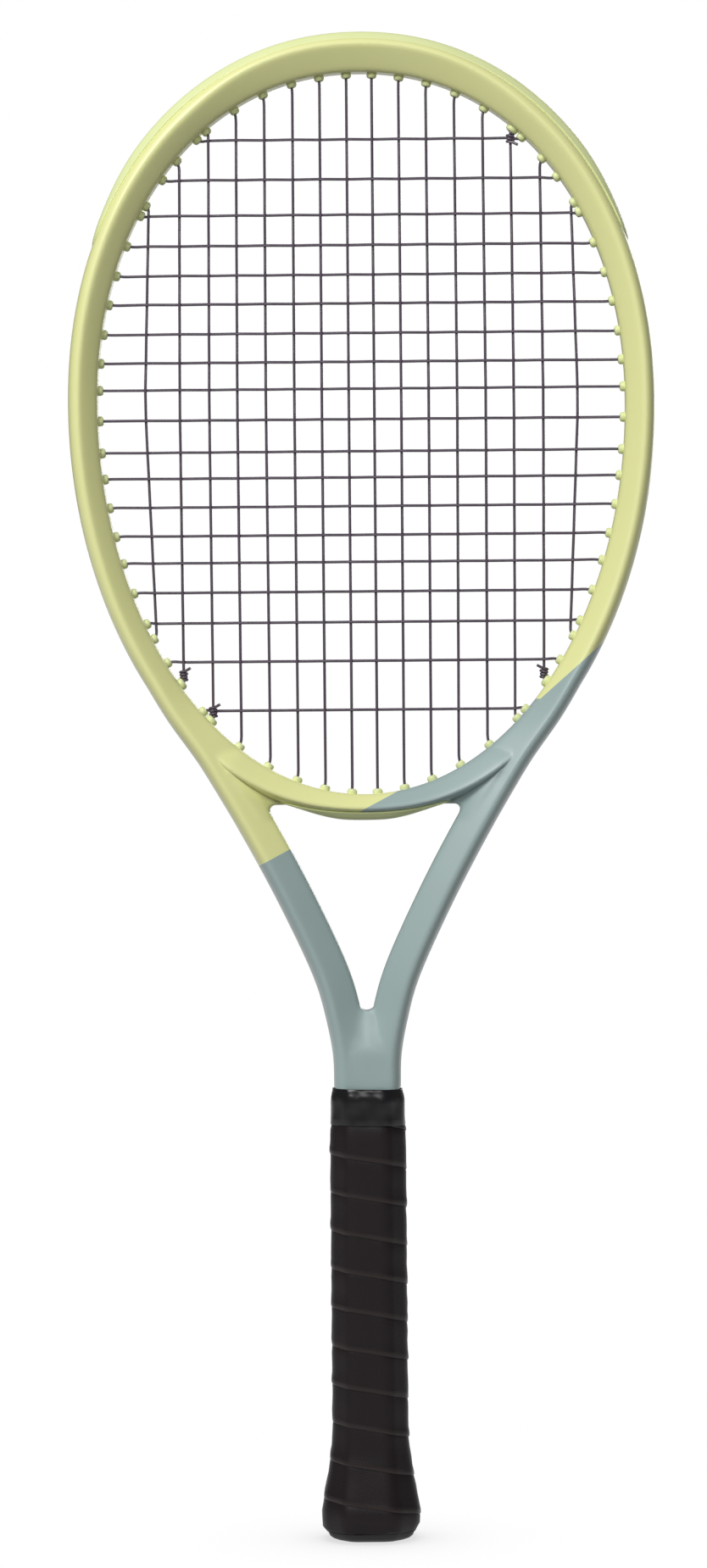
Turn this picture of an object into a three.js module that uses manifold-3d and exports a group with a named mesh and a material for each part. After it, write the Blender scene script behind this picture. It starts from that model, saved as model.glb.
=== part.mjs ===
// A tennis racket, strung and gripped: carbon hairpin, throat bridge, guard and grommet strips, two strings,
// handle shells, butt cap with its trap door, wound grip and finishing tape.
// Millimetres. The origin is the middle of the butt's end face, +Z runs up to the tip, the strings lie in
// the XZ plane and the front face looks along -Y.
import * as THREE from "three";
import { mergeVertices } from "three/addons/utils/BufferGeometryUtils.js";
import Module from "manifold-3d";

const wasm = await Module();
wasm.setup();

// Fits
const fitGap = 0.3; // between two pieces that touch on the real racket
const cutOverrun = 1; // how far a cutter runs past what it cuts

// Heights from the handle up to the head
const shaftTopZ = 206; // the shaft's painted end, above the handle
const throatFacetHeight = 35; // from there to the foot of the open throat
const throatFacetTopZ = shaftTopZ + throatFacetHeight;
const throatHeight = 97.8; // of the opening, up to the inside of the bridge
const headFootZ = throatFacetTopZ + throatHeight;

// Head: the inside outline of the hoop
const headHalfWidth = 120;
const headRise = 150.3; // from the widest place to the inside of the tip
const headDrop = 178.2; // from the widest place to the inside of the bridge
const headCentreZ = headFootZ + headDrop;
const tipExponent = 2.1; // squareness of the upper half's curve, 2 is an ellipse
const throatExponent = 2;

// Hoop tube, measured across the string plane's outline and front to back
const hoopWidthSide = 13.6;
const hoopWidthTip = 15.4;
const hoopWidthShoulder = 13.2;
const hoopDepthTip = 23;
const hoopDepthSide = 25;
const shoulderDepth = 26;
const tubeWall = 1.8;
const grooveDepth = 3.2; // string groove along the outside of the hoop
const grooveHalfWidth = 3.6;
const grooveFullDrop = 2.8; // the groove keeps its depth down to here, below the inside of the bridge
const grooveRunOut = 28; // the height over which it then runs out on the arms

// Arms and shaft
const shoulderShare = 0.7015; // of the head's drop, where the arm leaves the hoop's curve
const shoulderZ = headCentreZ - shoulderShare * headDrop;
const armWidth = 16.4;
const shaftHalfWidth = 15.2;
const shaftDepth = 21;
const tangFootZ = 12;
const tangDrop = 6; // height of the step down to the narrow shaft inside the handle
const tangHalfWidth = 12.4;
const tangDepth = 18.6;
const centreWall = 1.6; // wall between the two tubes where they lie side by side
const shaftOverlap = 0.4; // how far each tube crosses the middle before they are joined
const throatFacetFootZ = shaftTopZ + 0.23 * throatFacetHeight;
const throatFacetHalfWidth = 9.5;

// Throat bridge
const bridgeWidth = 8.8; // at the middle, across the outline
const bridgeDepth = 21;
const bridgeHalfSpan = 0.4833 * headHalfWidth; // along X, to where it runs into the arms
const bridgeEndShare = 0.43; // its ends inside the arms, of the way down from the shoulders
const webDrop = 4.8; // from the inside of the bridge down to the flat underside of the webs
const webHeight = 18;
const webStripGap = 7; // along X, from the end of the throat strip to where a web begins
const webSetBack = 2; // of the webs' faces from the bridge's, front and back
const webDepth = bridgeDepth - 2 * webSetBack;
const webBottomZ = headFootZ - webDrop;
const webTopZ = webBottomZ + webHeight;

// Strings
const stringDiameter = 1.3;
const stringSides = 4;
const weaveOffset = 0.8; // how far a string's axis stands off the string plane at a crossing
const mainShares = [0.0483, 0.1508, 0.255, 0.3633, 0.4717, 0.5783, 0.69, 0.8217]; // of the head's half width
const mainOffsets = mainShares.map((share) => share * headHalfWidth);
const outerMainTipHole = 0.8083 * headHalfWidth; // the outermost main leans in to its two holes
const outerMainThroatHole = 0.7917 * headHalfWidth;
const bridgeMains = 3; // mains on each side whose lower ends pass through the bridge
const lowCrossShares = [0.784, 0.6588, 0.5595, 0.4815, 0.4057, 0.3367, 0.2632, 0.1897, 0.1229, 0.041];
const highCrossShares = [0.0439, 0.1257, 0.2129, 0.3027, 0.3899, 0.4797, 0.5715, 0.6793, 0.8024];
const crossHeights = [
  ...lowCrossShares.map((share) => headCentreZ - share * headDrop),
  ...highCrossShares.map((share) => headCentreZ + share * headRise),
];
const sharedOffset = 0.85; // two strings lie this far off the middle, front and back, in a shared barrel
const passOffset = 1.5; // how far a loop moves aside where it passes another string's barrel
const tiedPassOffset = 2.4;
const loopLift = 0.6; // between a strip and the loops that run along it, which are chords of its curve
const knotTurns = 1.5;
const knotRadius = 1.35;
const knotPitch = 1.8;
const knotSteps = 6; // in each turn
const tailLength = 3;

// Grommets: one barrel for each string end
const grommetSides = 4;
const grommetBore = 1.16; // radii
const barrelRadius = 1.75;
const domeRadius = 2.4;
const tieExtra = 1.3; // how much wider a barrel and its dome are where two strings share them
const domeHeight = 2.3;
const domeLift = 0.6; // between a dome and the hoop's inside, which curves towards it
const barrelHoleRadius = 2.15;
const stripThickness = 0.9;
const stripHalfWidth = 3;
const stripTail = 18.8; // how far the side strips reach down the arms, below the inside of the bridge
const stripFootZ = headFootZ - stripTail;
const guardEndZ = headCentreZ + 0.4657 * headRise; // the head guard covers the hoop above this height
const guardCrest = 3.1; // how far the guard stands out past the hoop at the tip
const guardCrestEnd = 1.2;
const guardWing = 1.4; // thickness of the guard's side wings
const guardWingReach = 0.365 * hoopDepthTip; // from the middle of the guard, front and back
const stringChannel = 2.6; // half width of the channel that hides the strings' loops
const throatStripCrest = 3.2; // how far the throat strip stands out below the bridge
const throatStripEnd = 4.4; // how far the throat strip runs past its outermost string
const throatStripHalfSpan = mainOffsets[bridgeMains - 1] + throatStripEnd;
const throatStripSteps = 10;
const throatStripWing = 0.357 * bridgeDepth; // from its middle, front and back

// Handle shells
const palletDrop = 2.6; // from the shaft's painted end down to the top of the shells
const palletTopZ = shaftTopZ - palletDrop;
const palletInset = 0.1; // of the shells' sides from the shaft's
const palletHalfX = shaftHalfWidth - palletInset;
const palletWall = 3.6; // from the tang's face to the shells' front
const palletHalfY = tangDepth / 2 + palletWall;
const palletFlatHalf = 8.3; // half the width of the front flat

// Butt cap and its door. Profiles are rows of a height and how far the piece stands out past the shells.
const capFloor = 4.4;
const palletFootZ = capFloor + fitGap;
const capSkirtTopZ = 30;
const capRimGrow = 4.7;
const capProfile = [[0, -0.6], [2.5, 2.6], [5.3, 4.1], [12, capRimGrow], [20, 3.4], [capSkirtTopZ, 1.4]];
const doorHalfX = 9;
const doorHalfY = 6.6;
const doorThickness = 1.6;
const doorRecess = 0.8;
const doorPlugHeight = 9;
const doorPlugWall = 1.4;
const doorLip = 1.6;

// Staples
const stapleWidth = 6;
const stapleSpread = 4.1;
const stapleWire = 0.7;
const stapleLeg = 4.6;
const capStapleZ = 24;

// Grip strap
const gripThickness = 1.9;
const gripPitch = 17.4;
const gripSeam = 0.6; // gap between neighbouring turns
const gripFrontSeamZ = 33.3; // a seam's height at the middle of the front
const gripFootZ = 6;
const gripDrop = 2.8; // from the top of the shells down to the grip's last turn
const gripTopZ = palletTopZ - gripDrop;
const gripBed = [[0, 3.4], [6, 5.1], [12, 5.4], [20, 4.3], [27, 2.9], [34, 1.8], [42, 0.8], [50, fitGap]];

// Finishing tape
const tapeThickness = 0.6;
const tapeWidth = 16.1;
const tapeLip = 1.3; // how far the tape runs up past the shells
const tapeTopZ = palletTopZ + tapeLip;
const tapeFootZ = tapeTopZ - tapeWidth;
const tapeBedGrow = 1.2; // how far the tape's inside stands out past the shells
const tapeTopGrow = 0.4;

// Finishes
function finish(color, roughness, metalness = 0) {
  return new THREE.MeshStandardMaterial({ color, roughness, metalness });
}
const limePaint = finish(0xe9edb0, 0.35);
const tealPaint = finish(0xa3bab7, 0.35);
const limePlastic = finish(0xe4f0a0, 0.5);
const stringPlastic = finish(0x54475a, 0.35);
const handlePlastic = finish(0x2b2b2d, 0.6);
const gripLeather = finish(0x252124, 0.6);
const tapeFilm = finish(0x121214, 0.2);
const stapleSteel = finish(0xb4b6b8, 0.35, 1);

// A closed body through rings of points, with a flat fan on each end, or joined end to end.
function loft(rings, closed = false) {
  const count = rings[0].length;
  const positions = rings.flat().flatMap((p) => [p.x, p.y, p.z]);
  const index = [];
  const bands = closed ? rings.length : rings.length - 1;
  for (let i = 0; i < bands; i++) {
    const here = i * count;
    const next = ((i + 1) % rings.length) * count;
    for (let j = 0; j < count; j++) {
      const k = (j + 1) % count;
      index.push(here + j, here + k, next + k, here + j, next + k, next + j);
    }
  }
  if (!closed) {
    const last = (rings.length - 1) * count;
    for (const [a, b, c] of THREE.ShapeUtils.triangulateShape(flatOf(rings[0]), [])) index.push(a, c, b);
    for (const [a, b, c] of THREE.ShapeUtils.triangulateShape(flatOf(rings.at(-1)), [])) {
      index.push(last + a, last + b, last + c);
    }
  }
  const geometry = new THREE.BufferGeometry();
  geometry.setAttribute("position", new THREE.Float32BufferAttribute(positions, 3));
  geometry.setIndex(index);
  return facingOut(geometry);
}

// A ring of points in space, laid out in its own plane.
function flatOf(ring) {
  const normal = new THREE.Vector3();
  ring.forEach((p, i) => normal.add(new THREE.Vector3().crossVectors(p, ring[(i + 1) % ring.length])));
  normal.normalize();
  const across = new THREE.Vector3().subVectors(ring[1], ring[0]).normalize();
  const up = new THREE.Vector3().crossVectors(normal, across);
  return ring.map((p) => new THREE.Vector2(p.dot(across), p.dot(up)));
}

// Turns every face round if the body is inside out.
function facingOut(geometry) {
  const position = geometry.getAttribute("position");
  const index = geometry.getIndex().array;
  const [a, b, c] = [new THREE.Vector3(), new THREE.Vector3(), new THREE.Vector3()];
  let volume = 0;
  for (let i = 0; i < index.length; i += 3) {
    a.fromBufferAttribute(position, index[i]);
    b.fromBufferAttribute(position, index[i + 1]);
    c.fromBufferAttribute(position, index[i + 2]);
    volume += a.dot(b.cross(c));
  }
  if (volume < 0) geometry.setIndex([...index].reverse());
  return geometry;
}

// The same body with its shared vertices merged and nothing but their positions kept.
function welded(geometry) {
  const bare = geometry.clone();
  bare.deleteAttribute("normal");
  bare.deleteAttribute("uv");
  return mergeVertices(bare, fitGap / 1000);
}

function solidOf(geometry) {
  const merged = facingOut(welded(geometry));
  return new wasm.Manifold(
    new wasm.Mesh({
      numProp: 3,
      vertProperties: merged.getAttribute("position").array,
      triVerts: new Uint32Array(merged.getIndex().array),
    }),
  );
}

function geometryOf(solid) {
  const mesh = solid.getMesh();
  const geometry = new THREE.BufferGeometry();
  geometry.setAttribute("position", new THREE.BufferAttribute(mesh.vertProperties, 3));
  geometry.setIndex(new THREE.BufferAttribute(mesh.triVerts, 1));
  return geometry;
}

const join = (geometries) => geometryOf(geometries.map(solidOf).reduce((a, b) => a.add(b)));
function cut(geometry, cutters) {
  return geometryOf(cutters.map(solidOf).reduce((a, b) => a.subtract(b), solidOf(geometry)));
}
const mirrored = (geometry) => facingOut(welded(geometry).scale(-1, 1, 1));
const mix = THREE.MathUtils.lerp;
const ease = (value, from, to) => THREE.MathUtils.smoothstep(value, from, to);

// The head's inside outline and the tube's width there, for an angle round the head (0 at +X, a quarter
// turn at the tip). The outline is a superellipse of one height above the widest place and another below.
function headAt(angle) {
  const [c, s] = [Math.cos(angle), Math.sin(angle)];
  const above = s >= 0;
  const exponent = above ? tipExponent : throatExponent;
  const height = above ? headRise : headDrop;
  const x = headHalfWidth * Math.sign(c) * Math.abs(c) ** (2 / exponent);
  const z = height * Math.sign(s) * Math.abs(s) ** (2 / exponent);
  const slopeX = (Math.sign(x) * Math.abs(x / headHalfWidth) ** (exponent - 1)) / headHalfWidth;
  const slopeZ = (Math.sign(z) * Math.abs(z / height) ** (exponent - 1)) / height;
  const normal = new THREE.Vector3(slopeX, 0, slopeZ).normalize();
  const inside = new THREE.Vector3(x, 0, headCentreZ + z);
  const up = z / height;
  const width = above
    ? mix(hoopWidthSide, hoopWidthTip, up * up)
    : mix(hoopWidthSide, hoopWidthShoulder, ease(-up, 0, shoulderShare));
  const bridge = above ? 0 : ease(bridgeHalfSpan - Math.abs(x), 0, bridgeHalfSpan);
  return { inside, normal, width: mix(width, bridgeWidth, bridge), up };
}

// The place on the head's inside outline at a given X above or below, or at a given Z on one side.
function headWhere(axis, value, low, high) {
  const rising = headAt(high).inside[axis] > headAt(low).inside[axis];
  for (let step = 0; step < 40; step++) {
    const middle = (low + high) / 2;
    if (headAt(middle).inside[axis] < value === rising) low = middle;
    else high = middle;
  }
  return headAt(low);
}

const quarter = Math.PI / 2;

// A section of a tube: shares of its half width (outward) and half depth (front and back), front half only.
const hoopFrontShares = [[-1, -0.36], [-0.52, -0.8], [0.2, -1], [0.74, -0.82], [1, -0.42]];
const armFrontShares = [[-1, -0.6], [-0.5, -0.86], [0.36, -1], [0.78, -0.82], [1, -0.38]];
const shaftFrontShares = [[-1, -0.96], [-0.5, -0.98], [0.42, -1], [0.8, -0.8], [1, -0.4]];

// An outline of distances outward and front to back, set at a station's centre.
function placed(station, outline) {
  const { centre, normal } = station;
  return outline.map(([u, v]) => centre.clone().addScaledVector(normal, u).add(new THREE.Vector3(0, v, 0)));
}

// One station of the hairpin: centre, outward direction, half sizes, section and depth of the string groove.
function sectionRing(station, grow = 0) {
  const { halfWidth, halfDepth, shares, groove } = station;
  const front = shares.map(([u, v]) => [u * (halfWidth + grow), v * (halfDepth + grow)]);
  const floorHalf = mix(halfDepth * 0.3, grooveHalfWidth, groove / grooveDepth);
  const floor = [halfWidth + grow - groove, -floorHalf];
  const half = [...front, floor];
  return placed(station, [...half, ...half.map(([u, v]) => [u, -v]).reverse()]);
}

const blendShares = (a, b, share) => a.map(([u, v], i) => [mix(u, b[i][0], share), mix(v, b[i][1], share)]);

function hoopStation(angle) {
  const { inside, normal, width, up } = headAt(angle);
  const depth = up > 0 ? mix(hoopDepthSide, hoopDepthTip, up * up) : mix(hoopDepthSide, shoulderDepth, -up);
  return {
    centre: inside.clone().addScaledVector(normal, width / 2),
    normal,
    halfWidth: width / 2,
    halfDepth: depth / 2,
    shares: hoopFrontShares,
    groove: grooveDepth,
  };
}

// The right half of the hairpin, from its foot inside the handle up to the tip.
const armPlaceShares = [
  [0.085, 0.004], [0.18, 0.04], [0.27, 0.095], [0.44, 0.26], [0.61, 0.452], [0.8, 0.697], [0.92, 0.892],
];
const armSteps = 11;
const grooveFullZ = headFootZ - grooveFullDrop;
const hoopSteps = 18;

function shoulderAngle() {
  let low = -quarter;
  let high = 0;
  for (let step = 0; step < 40; step++) {
    const middle = (low + high) / 2;
    if (hoopStation(middle).centre.z < shoulderZ) low = middle;
    else high = middle;
  }
  return low;
}

function hairpinStations() {
  const shoulder = hoopStation(shoulderAngle());
  const past = hoopStation(shoulderAngle() + 0.12);
  const halfTube = (shaftHalfWidth + shaftOverlap) / 2;
  const foot = new THREE.Vector3(shaftHalfWidth - halfTube, 0, shaftTopZ);
  const [rise, spread] = [shoulder.centre.z - foot.z, shoulder.centre.x - foot.x];
  const places = armPlaceShares.map(([up, out]) => {
    return new THREE.Vector3(foot.x + spread * out, 0, foot.z + rise * up);
  });
  const below = foot.clone().setZ(foot.z - tangDrop);
  const row = [below, foot, ...places, shoulder.centre, past.centre];
  const line = new THREE.CatmullRomCurve3(row, false, "centripetal");
  const arm = [];
  for (let i = 0; i < armSteps; i++) {
    const z = mix(foot.z, shoulder.centre.z, i / armSteps);
    const { point, tangent } = curveAtHeight(line, z);
    const out = ease(z, shaftTopZ, throatFacetTopZ);
    const near = ease(z, shoulderZ - (shoulderZ - webTopZ) * 1.3, shoulderZ);
    const width = mix(mix(2 * halfTube, armWidth, out), shoulder.halfWidth * 2, near);
    const depth = mix(shaftDepth, shoulderDepth, ease(z, shaftTopZ, webBottomZ));
    arm.push({
      centre: point,
      normal: new THREE.Vector3(tangent.z, 0, -tangent.x),
      halfWidth: width / 2,
      halfDepth: depth / 2,
      shares: blendShares(blendShares(shaftFrontShares, armFrontShares, out), hoopFrontShares, near),
      groove: grooveDepth * ease(z, grooveFullZ - grooveRunOut, grooveFullZ),
    });
  }
  const narrow = (tangHalfWidth + shaftOverlap) / 2;
  const tang = [tangFootZ, shaftTopZ - tangDrop].map((z) => ({
    ...arm[0],
    centre: new THREE.Vector3(tangHalfWidth - narrow, 0, z),
    normal: new THREE.Vector3(1, 0, 0),
    halfWidth: narrow,
    halfDepth: tangDepth / 2,
  }));
  arm[0].normal.set(1, 0, 0);
  const hoop = [];
  for (let i = 0; i <= hoopSteps; i++) hoop.push(hoopStation(mix(shoulderAngle(), quarter, i / hoopSteps)));
  return [...tang, ...arm, ...hoop];
}

function curveAtHeight(curve, z) {
  let low = 0;
  let high = 1;
  for (let step = 0; step < 30; step++) {
    const middle = (low + high) / 2;
    if (curve.getPoint(middle).z < z) low = middle;
    else high = middle;
  }
  return { point: curve.getPoint(low), tangent: curve.getTangent(low) };
}

// The hollow inside a station: a six-sided channel one wall inside the tube and clear of the groove.
function hollowRing({ centre, normal, halfWidth, halfDepth, groove }) {
  const innerSide = Math.max(-halfWidth + tubeWall, centreWall / 2 - centre.x);
  const outerSide = halfWidth - groove - tubeWall;
  const [shallow, deep] = [halfDepth * 0.36, halfDepth - 1.4 * tubeWall];
  const middle = mix(innerSide, outerSide, 0.55);
  const front = [[innerSide, -shallow], [middle, -deep], [outerSide, -shallow]];
  return placed({ centre, normal }, [...front, ...front.map(([u, v]) => [u, -v]).reverse()]);
}

const hairpin = hairpinStations();

// A place on the floor of the hairpin's groove, found along a line from a point on the right half.
function grooveFloorFrom(start, direction) {
  for (let i = 1; i < hairpin.length; i++) {
    const [a, b] = [hairpin[i - 1], hairpin[i]].map(({ centre, normal, halfWidth, groove }) => {
      return centre.clone().addScaledVector(normal, halfWidth - groove);
    });
    const along = new THREE.Vector3().subVectors(b, a);
    const offset = new THREE.Vector3().subVectors(a, start);
    const turn = direction.x * along.z - direction.z * along.x;
    const reach = (offset.x * along.z - offset.z * along.x) / turn;
    const share = (offset.x * direction.z - offset.z * direction.x) / turn;
    if (reach > 0 && share >= 0 && share <= 1) return reach;
  }
  throw new Error("no groove floor on this line");
}

// String holes. Each has its mouth on the head's inside outline, the barrel's direction, the reach from the
// mouth to the floor of the groove, and whether it takes a second string where a knot ties off.
const holes = {};
function addHole(name, place, direction, inBridge, tied) {
  const reach = inBridge ? place.width - grooveDepth : grooveFloorFrom(place.inside, direction);
  for (const [side, sign] of [["R", 1], ["L", -1]]) {
    const flip = new THREE.Vector3(sign, 1, 1);
    const shared = tied === side || tied === "both";
    const dome = domeRadius + (shared ? tieExtra : 0);
    holes[name + side] = {
      mouth: place.inside.clone().multiply(flip),
      direction: direction.clone().multiply(flip),
      reach,
      lift: (domeLift * dome) / domeRadius + dome * Math.tan(direction.angleTo(place.normal)),
      inBridge,
      tied: shared,
    };
  }
}

mainOffsets.forEach((offset, i) => {
  const outermost = i === mainOffsets.length - 1;
  const tip = headWhere("x", outermost ? outerMainTipHole : offset, quarter, 0);
  const low = headWhere("x", outermost ? outerMainThroatHole : offset, -quarter, 0);
  const throughArm = i === bridgeMains ? headWhere("x", mainOffsets[i + 1], -quarter, 0).normal : low.normal;
  addHole("tip" + i, tip, tip.normal, false, i === 5 ? "R" : "");
  addHole("low" + i, low, throughArm, i < bridgeMains, { 5: "L", 6: "both" }[i] ?? "");
});
crossHeights.forEach((height, j) => {
  const above = height > headCentreZ;
  const place = headWhere("z", height, above ? 0 : -quarter, above ? quarter : 0);
  addHole("cross" + j, place, place.normal, false, "");
});

// A turned body on a hole's own line: the profile's points are radius and distance out from the mouth.
function onHole(hole, profile) {
  const body = new THREE.LatheGeometry(profile.map(([r, y]) => new THREE.Vector2(r, y)), grommetSides);
  const turn = new THREE.Quaternion().setFromUnitVectors(new THREE.Vector3(0, 1, 0), hole.direction);
  return body.applyQuaternion(turn).translate(hole.mouth.x, hole.mouth.y, hole.mouth.z);
}

const widen = (hole) => (hole.tied ? tieExtra : 0);

function holeCutter(hole) {
  const r = barrelHoleRadius + widen(hole);
  const end = hole.reach + cutOverrun;
  return onHole(hole, [[0, -cutOverrun], [r, -cutOverrun], [r, end], [0, end]]);
}

function grommet(hole) {
  const [barrel, dome] = [barrelRadius, domeRadius].map((r) => r + widen(hole));
  const rim = dome - domeHeight * 0.45;
  const end = hole.reach + fitGap + stripThickness / 2;
  const head = [[0, -domeHeight], [rim, -domeHeight], [dome, -hole.lift], [barrel, -hole.lift]];
  return onHole(hole, [...head, [barrel, end], [0, end]]);
}

function boreCutter(hole) {
  const end = hole.reach + fitGap + stripThickness + cutOverrun;
  const start = -domeHeight - cutOverrun;
  const bore = grommetBore + widen(hole);
  return onHole(hole, [[0, start], [bore, start], [bore, end], [0, end]]);
}

// Carbon hairpin: the hoop, both arms and the shaft, hollow from one open foot round to the other.
function frameTube() {
  const right = loft(hairpin.map((station) => sectionRing(station)));
  const facet = loft([
    facetRing(throatFacetTopZ, throatFacetHalfWidth * 0.1, shaftDepth * 0.18),
    facetRing(throatFacetFootZ, throatFacetHalfWidth, shaftDepth * 0.5),
    facetRing(shaftTopZ, throatFacetHalfWidth, shaftDepth * 0.49),
  ]);
  const body = join([right, mirrored(right), facet]);
  const first = hairpin[0];
  const opening = { ...first, centre: first.centre.clone().setZ(first.centre.z - cutOverrun) };
  const sparse = hairpin.filter((station, i) => i < 3 || (hairpin.length - 1 - i) % 2 === 0);
  const hollow = loft([opening, ...sparse].map(hollowRing));
  const hoopHoles = Object.values(holes).filter((hole) => !hole.inBridge);
  return cut(body, [join([hollow, mirrored(hollow)]), ...hoopHoles.map(holeCutter)]);
}

function facetRing(z, halfX, halfY) {
  const corners = [[-1, -1], [1, -1], [1, 1], [-1, 1]];
  return corners.map(([u, v]) => new THREE.Vector3(u * halfX, v * halfY, z));
}

// Throat bridge: closes the hoop between the arms, with a flat web in each corner.
const bridgeSteps = 18;
const bridgeEndX = headWhere("z", mix(shoulderZ, headFootZ, bridgeEndShare), -quarter, 0).inside.x;

function bridgeStation(angle) {
  const { inside, normal, width } = headAt(angle);
  return {
    centre: inside.clone().addScaledVector(normal, width / 2),
    normal,
    halfWidth: width / 2,
    halfDepth: bridgeDepth / 2,
    shares: hoopFrontShares,
    groove: grooveDepth,
  };
}

function bridgeStations(halfSpan, steps) {
  const end = Math.asin(halfSpan / headHalfWidth);
  return Array.from({ length: steps + 1 }, (_, i) => bridgeStation(-quarter + mix(-end, end, i / steps)));
}

function throatBridge() {
  const ring = loft(bridgeStations(bridgeEndX, bridgeSteps).map((station) => sectionRing(station)));
  const webInnerX = throatStripHalfSpan + webStripGap;
  const heights = [webBottomZ, webTopZ, webTopZ + bridgeWidth];
  const inArm = heights.map((z) => new THREE.Vector2(stationAt(z).centre.x, z));
  const outline = new THREE.Shape([
    new THREE.Vector2(webInnerX, webBottomZ + bridgeWidth),
    new THREE.Vector2(webInnerX, webBottomZ),
    ...inArm,
  ]);
  const web = new THREE.ExtrudeGeometry(outline, { depth: webDepth, bevelEnabled: false });
  web.translate(0, 0, -webDepth / 2).rotateX(quarter);
  const arm = loft(hairpin.map((station) => sectionRing({ ...station, groove: 0 }, fitGap)));
  const drilled = holesWhere((name) => name.startsWith("low")).map(holeCutter);
  return cut(join([ring, web, mirrored(web)]), [arm, mirrored(arm), ...drilled]);
}

// A strip that lies in the groove along a row of stations, with a barrel for each string end.
function grommetStrip(stations, section, own) {
  const bed = loft(stations.map(section));
  return cut(join([bed, ...own.map(grommet)]), own.map(boreCutter));
}

function flatStripSection(station) {
  const low = station.halfWidth - station.groove + fitGap;
  const high = low + stripThickness;
  const half = stripHalfWidth;
  return placed(station, [[low, -half], [high, -half], [high, half], [low, half]]);
}

// The guard's section: a bed in the groove, walls up its sides and a wing over each rim.
function guardSection(station, crest, wingReach) {
  const floor = station.halfWidth - station.groove + fitGap;
  const rim = station.halfWidth + fitGap;
  const rimV = station.halfDepth * 0.42;
  const down = (wingReach - rimV) / (station.halfDepth * 0.82 - rimV);
  const shoulderU = station.halfWidth * mix(1, 0.74, down) + fitGap * 1.3;
  const half = [
    [floor, stripHalfWidth],
    [rim, rimV - fitGap],
    [shoulderU, wingReach],
    [shoulderU + guardWing, wingReach + guardWing * 0.3],
    [rim + crest - fitGap, rimV],
    [floor + stripThickness, stringChannel],
  ];
  return placed(station, [...half, ...half.map(([u, v]) => [u, -v]).reverse()]);
}

function holesWhere(test) {
  return Object.entries(holes).filter(([name, hole]) => test(name, hole)).map(([, hole]) => hole);
}
const exitZ = (hole) => hole.mouth.z + hole.direction.z * hole.reach;

// The stretch of the hairpin's right half between two heights, with a station set in at each end.
function stretch(lowZ, highZ) {
  const inside = hairpin.filter(({ centre }) => centre.z > lowZ + fitGap && centre.z < highZ - fitGap);
  return [stationAt(lowZ), ...inside, ...(highZ < hairpin.at(-1).centre.z ? [stationAt(highZ)] : [])];
}

function stationAt(z) {
  const i = hairpin.findIndex((station) => station.centre.z > z);
  const [a, b] = [hairpin[i - 1], hairpin[i]];
  const share = (z - a.centre.z) / (b.centre.z - a.centre.z);
  return {
    centre: a.centre.clone().lerp(b.centre, share),
    normal: a.normal.clone().lerp(b.normal, share).normalize(),
    halfWidth: mix(a.halfWidth, b.halfWidth, share),
    halfDepth: mix(a.halfDepth, b.halfDepth, share),
    shares: blendShares(a.shares, b.shares, share),
    groove: mix(a.groove, b.groove, share),
  };
}

function bumperGuard() {
  const right = stretch(guardEndZ + fitGap, Infinity);
  const stations = [...right, ...right.slice(0, -1).reverse().map(flipped)];
  const fullCrestZ = mix(guardEndZ, right.at(-1).centre.z, 0.5);
  const section = (station) => {
    const crest = mix(guardCrestEnd, guardCrest, ease(station.centre.z, guardEndZ, fullCrestZ));
    return guardSection(station, crest, guardWingReach);
  };
  return grommetStrip(stations, section, holesWhere((name, hole) => exitZ(hole) > guardEndZ));
}

function flipped(station) {
  const flip = new THREE.Vector3(-1, 1, 1);
  const [centre, normal] = [station.centre, station.normal].map((v) => v.clone().multiply(flip));
  return { ...station, centre, normal };
}

function sideStrip(side) {
  const stations = stretch(stripFootZ, guardEndZ);
  const own = holesWhere((name, hole) => name.endsWith(side) && !hole.inBridge && exitZ(hole) < guardEndZ);
  return grommetStrip(side === "R" ? stations : stations.map(flipped), flatStripSection, own);
}

function throatStrip() {
  const stations = bridgeStations(throatStripHalfSpan, throatStripSteps);
  const section = (station) => {
    const inward = throatStripHalfSpan - Math.abs(station.centre.x);
    const crest = mix(guardCrestEnd, throatStripCrest, ease(inward, 0, throatStripHalfSpan));
    return guardSection(station, crest, throatStripWing);
  };
  return grommetStrip(stations, section, holesWhere((name, hole) => hole.inBridge));
}

// A string of a few flat sides through a row of points, mitred at each bend.
function stringTube(points, radius, sides) {
  const directions = points.slice(1).map((p, i) => new THREE.Vector3().subVectors(p, points[i]).normalize());
  const first = directions[0];
  const side = new THREE.Vector3(0, 1, 0).addScaledVector(first, -first.y).normalize();
  const other = new THREE.Vector3().crossVectors(first, side);
  let ring = Array.from({ length: sides }, (_, k) => {
    const turn = (2 * Math.PI * k) / sides;
    const corner = side.clone().multiplyScalar(Math.cos(turn)).addScaledVector(other, Math.sin(turn));
    return corner.multiplyScalar(radius).add(points[0]);
  });
  const rings = [ring];
  for (let i = 1; i < points.length; i++) {
    const along = directions[i - 1];
    const plane = i < directions.length ? along.clone().add(directions[i]).normalize() : along;
    ring = ring.map((p) => {
      const share = new THREE.Vector3().subVectors(points[i], p).dot(plane) / along.dot(plane);
      return p.clone().addScaledVector(along, share);
    });
    rings.push(ring);
  }
  return loft(rings);
}

const stringRadius = stringDiameter / 2;

// Where a string leaves a barrel on the inside of the head, and where it turns on the outside.
const mouthPoint = (hole, y) => {
  return hole.mouth.clone().addScaledVector(hole.direction, -domeHeight - fitGap).setY(y);
};
const turnPoint = (hole, y) => {
  const out = hole.reach + fitGap + stripThickness + loopLift + stringRadius;
  return hole.mouth.clone().addScaledVector(hole.direction, out).setY(y);
};

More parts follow.
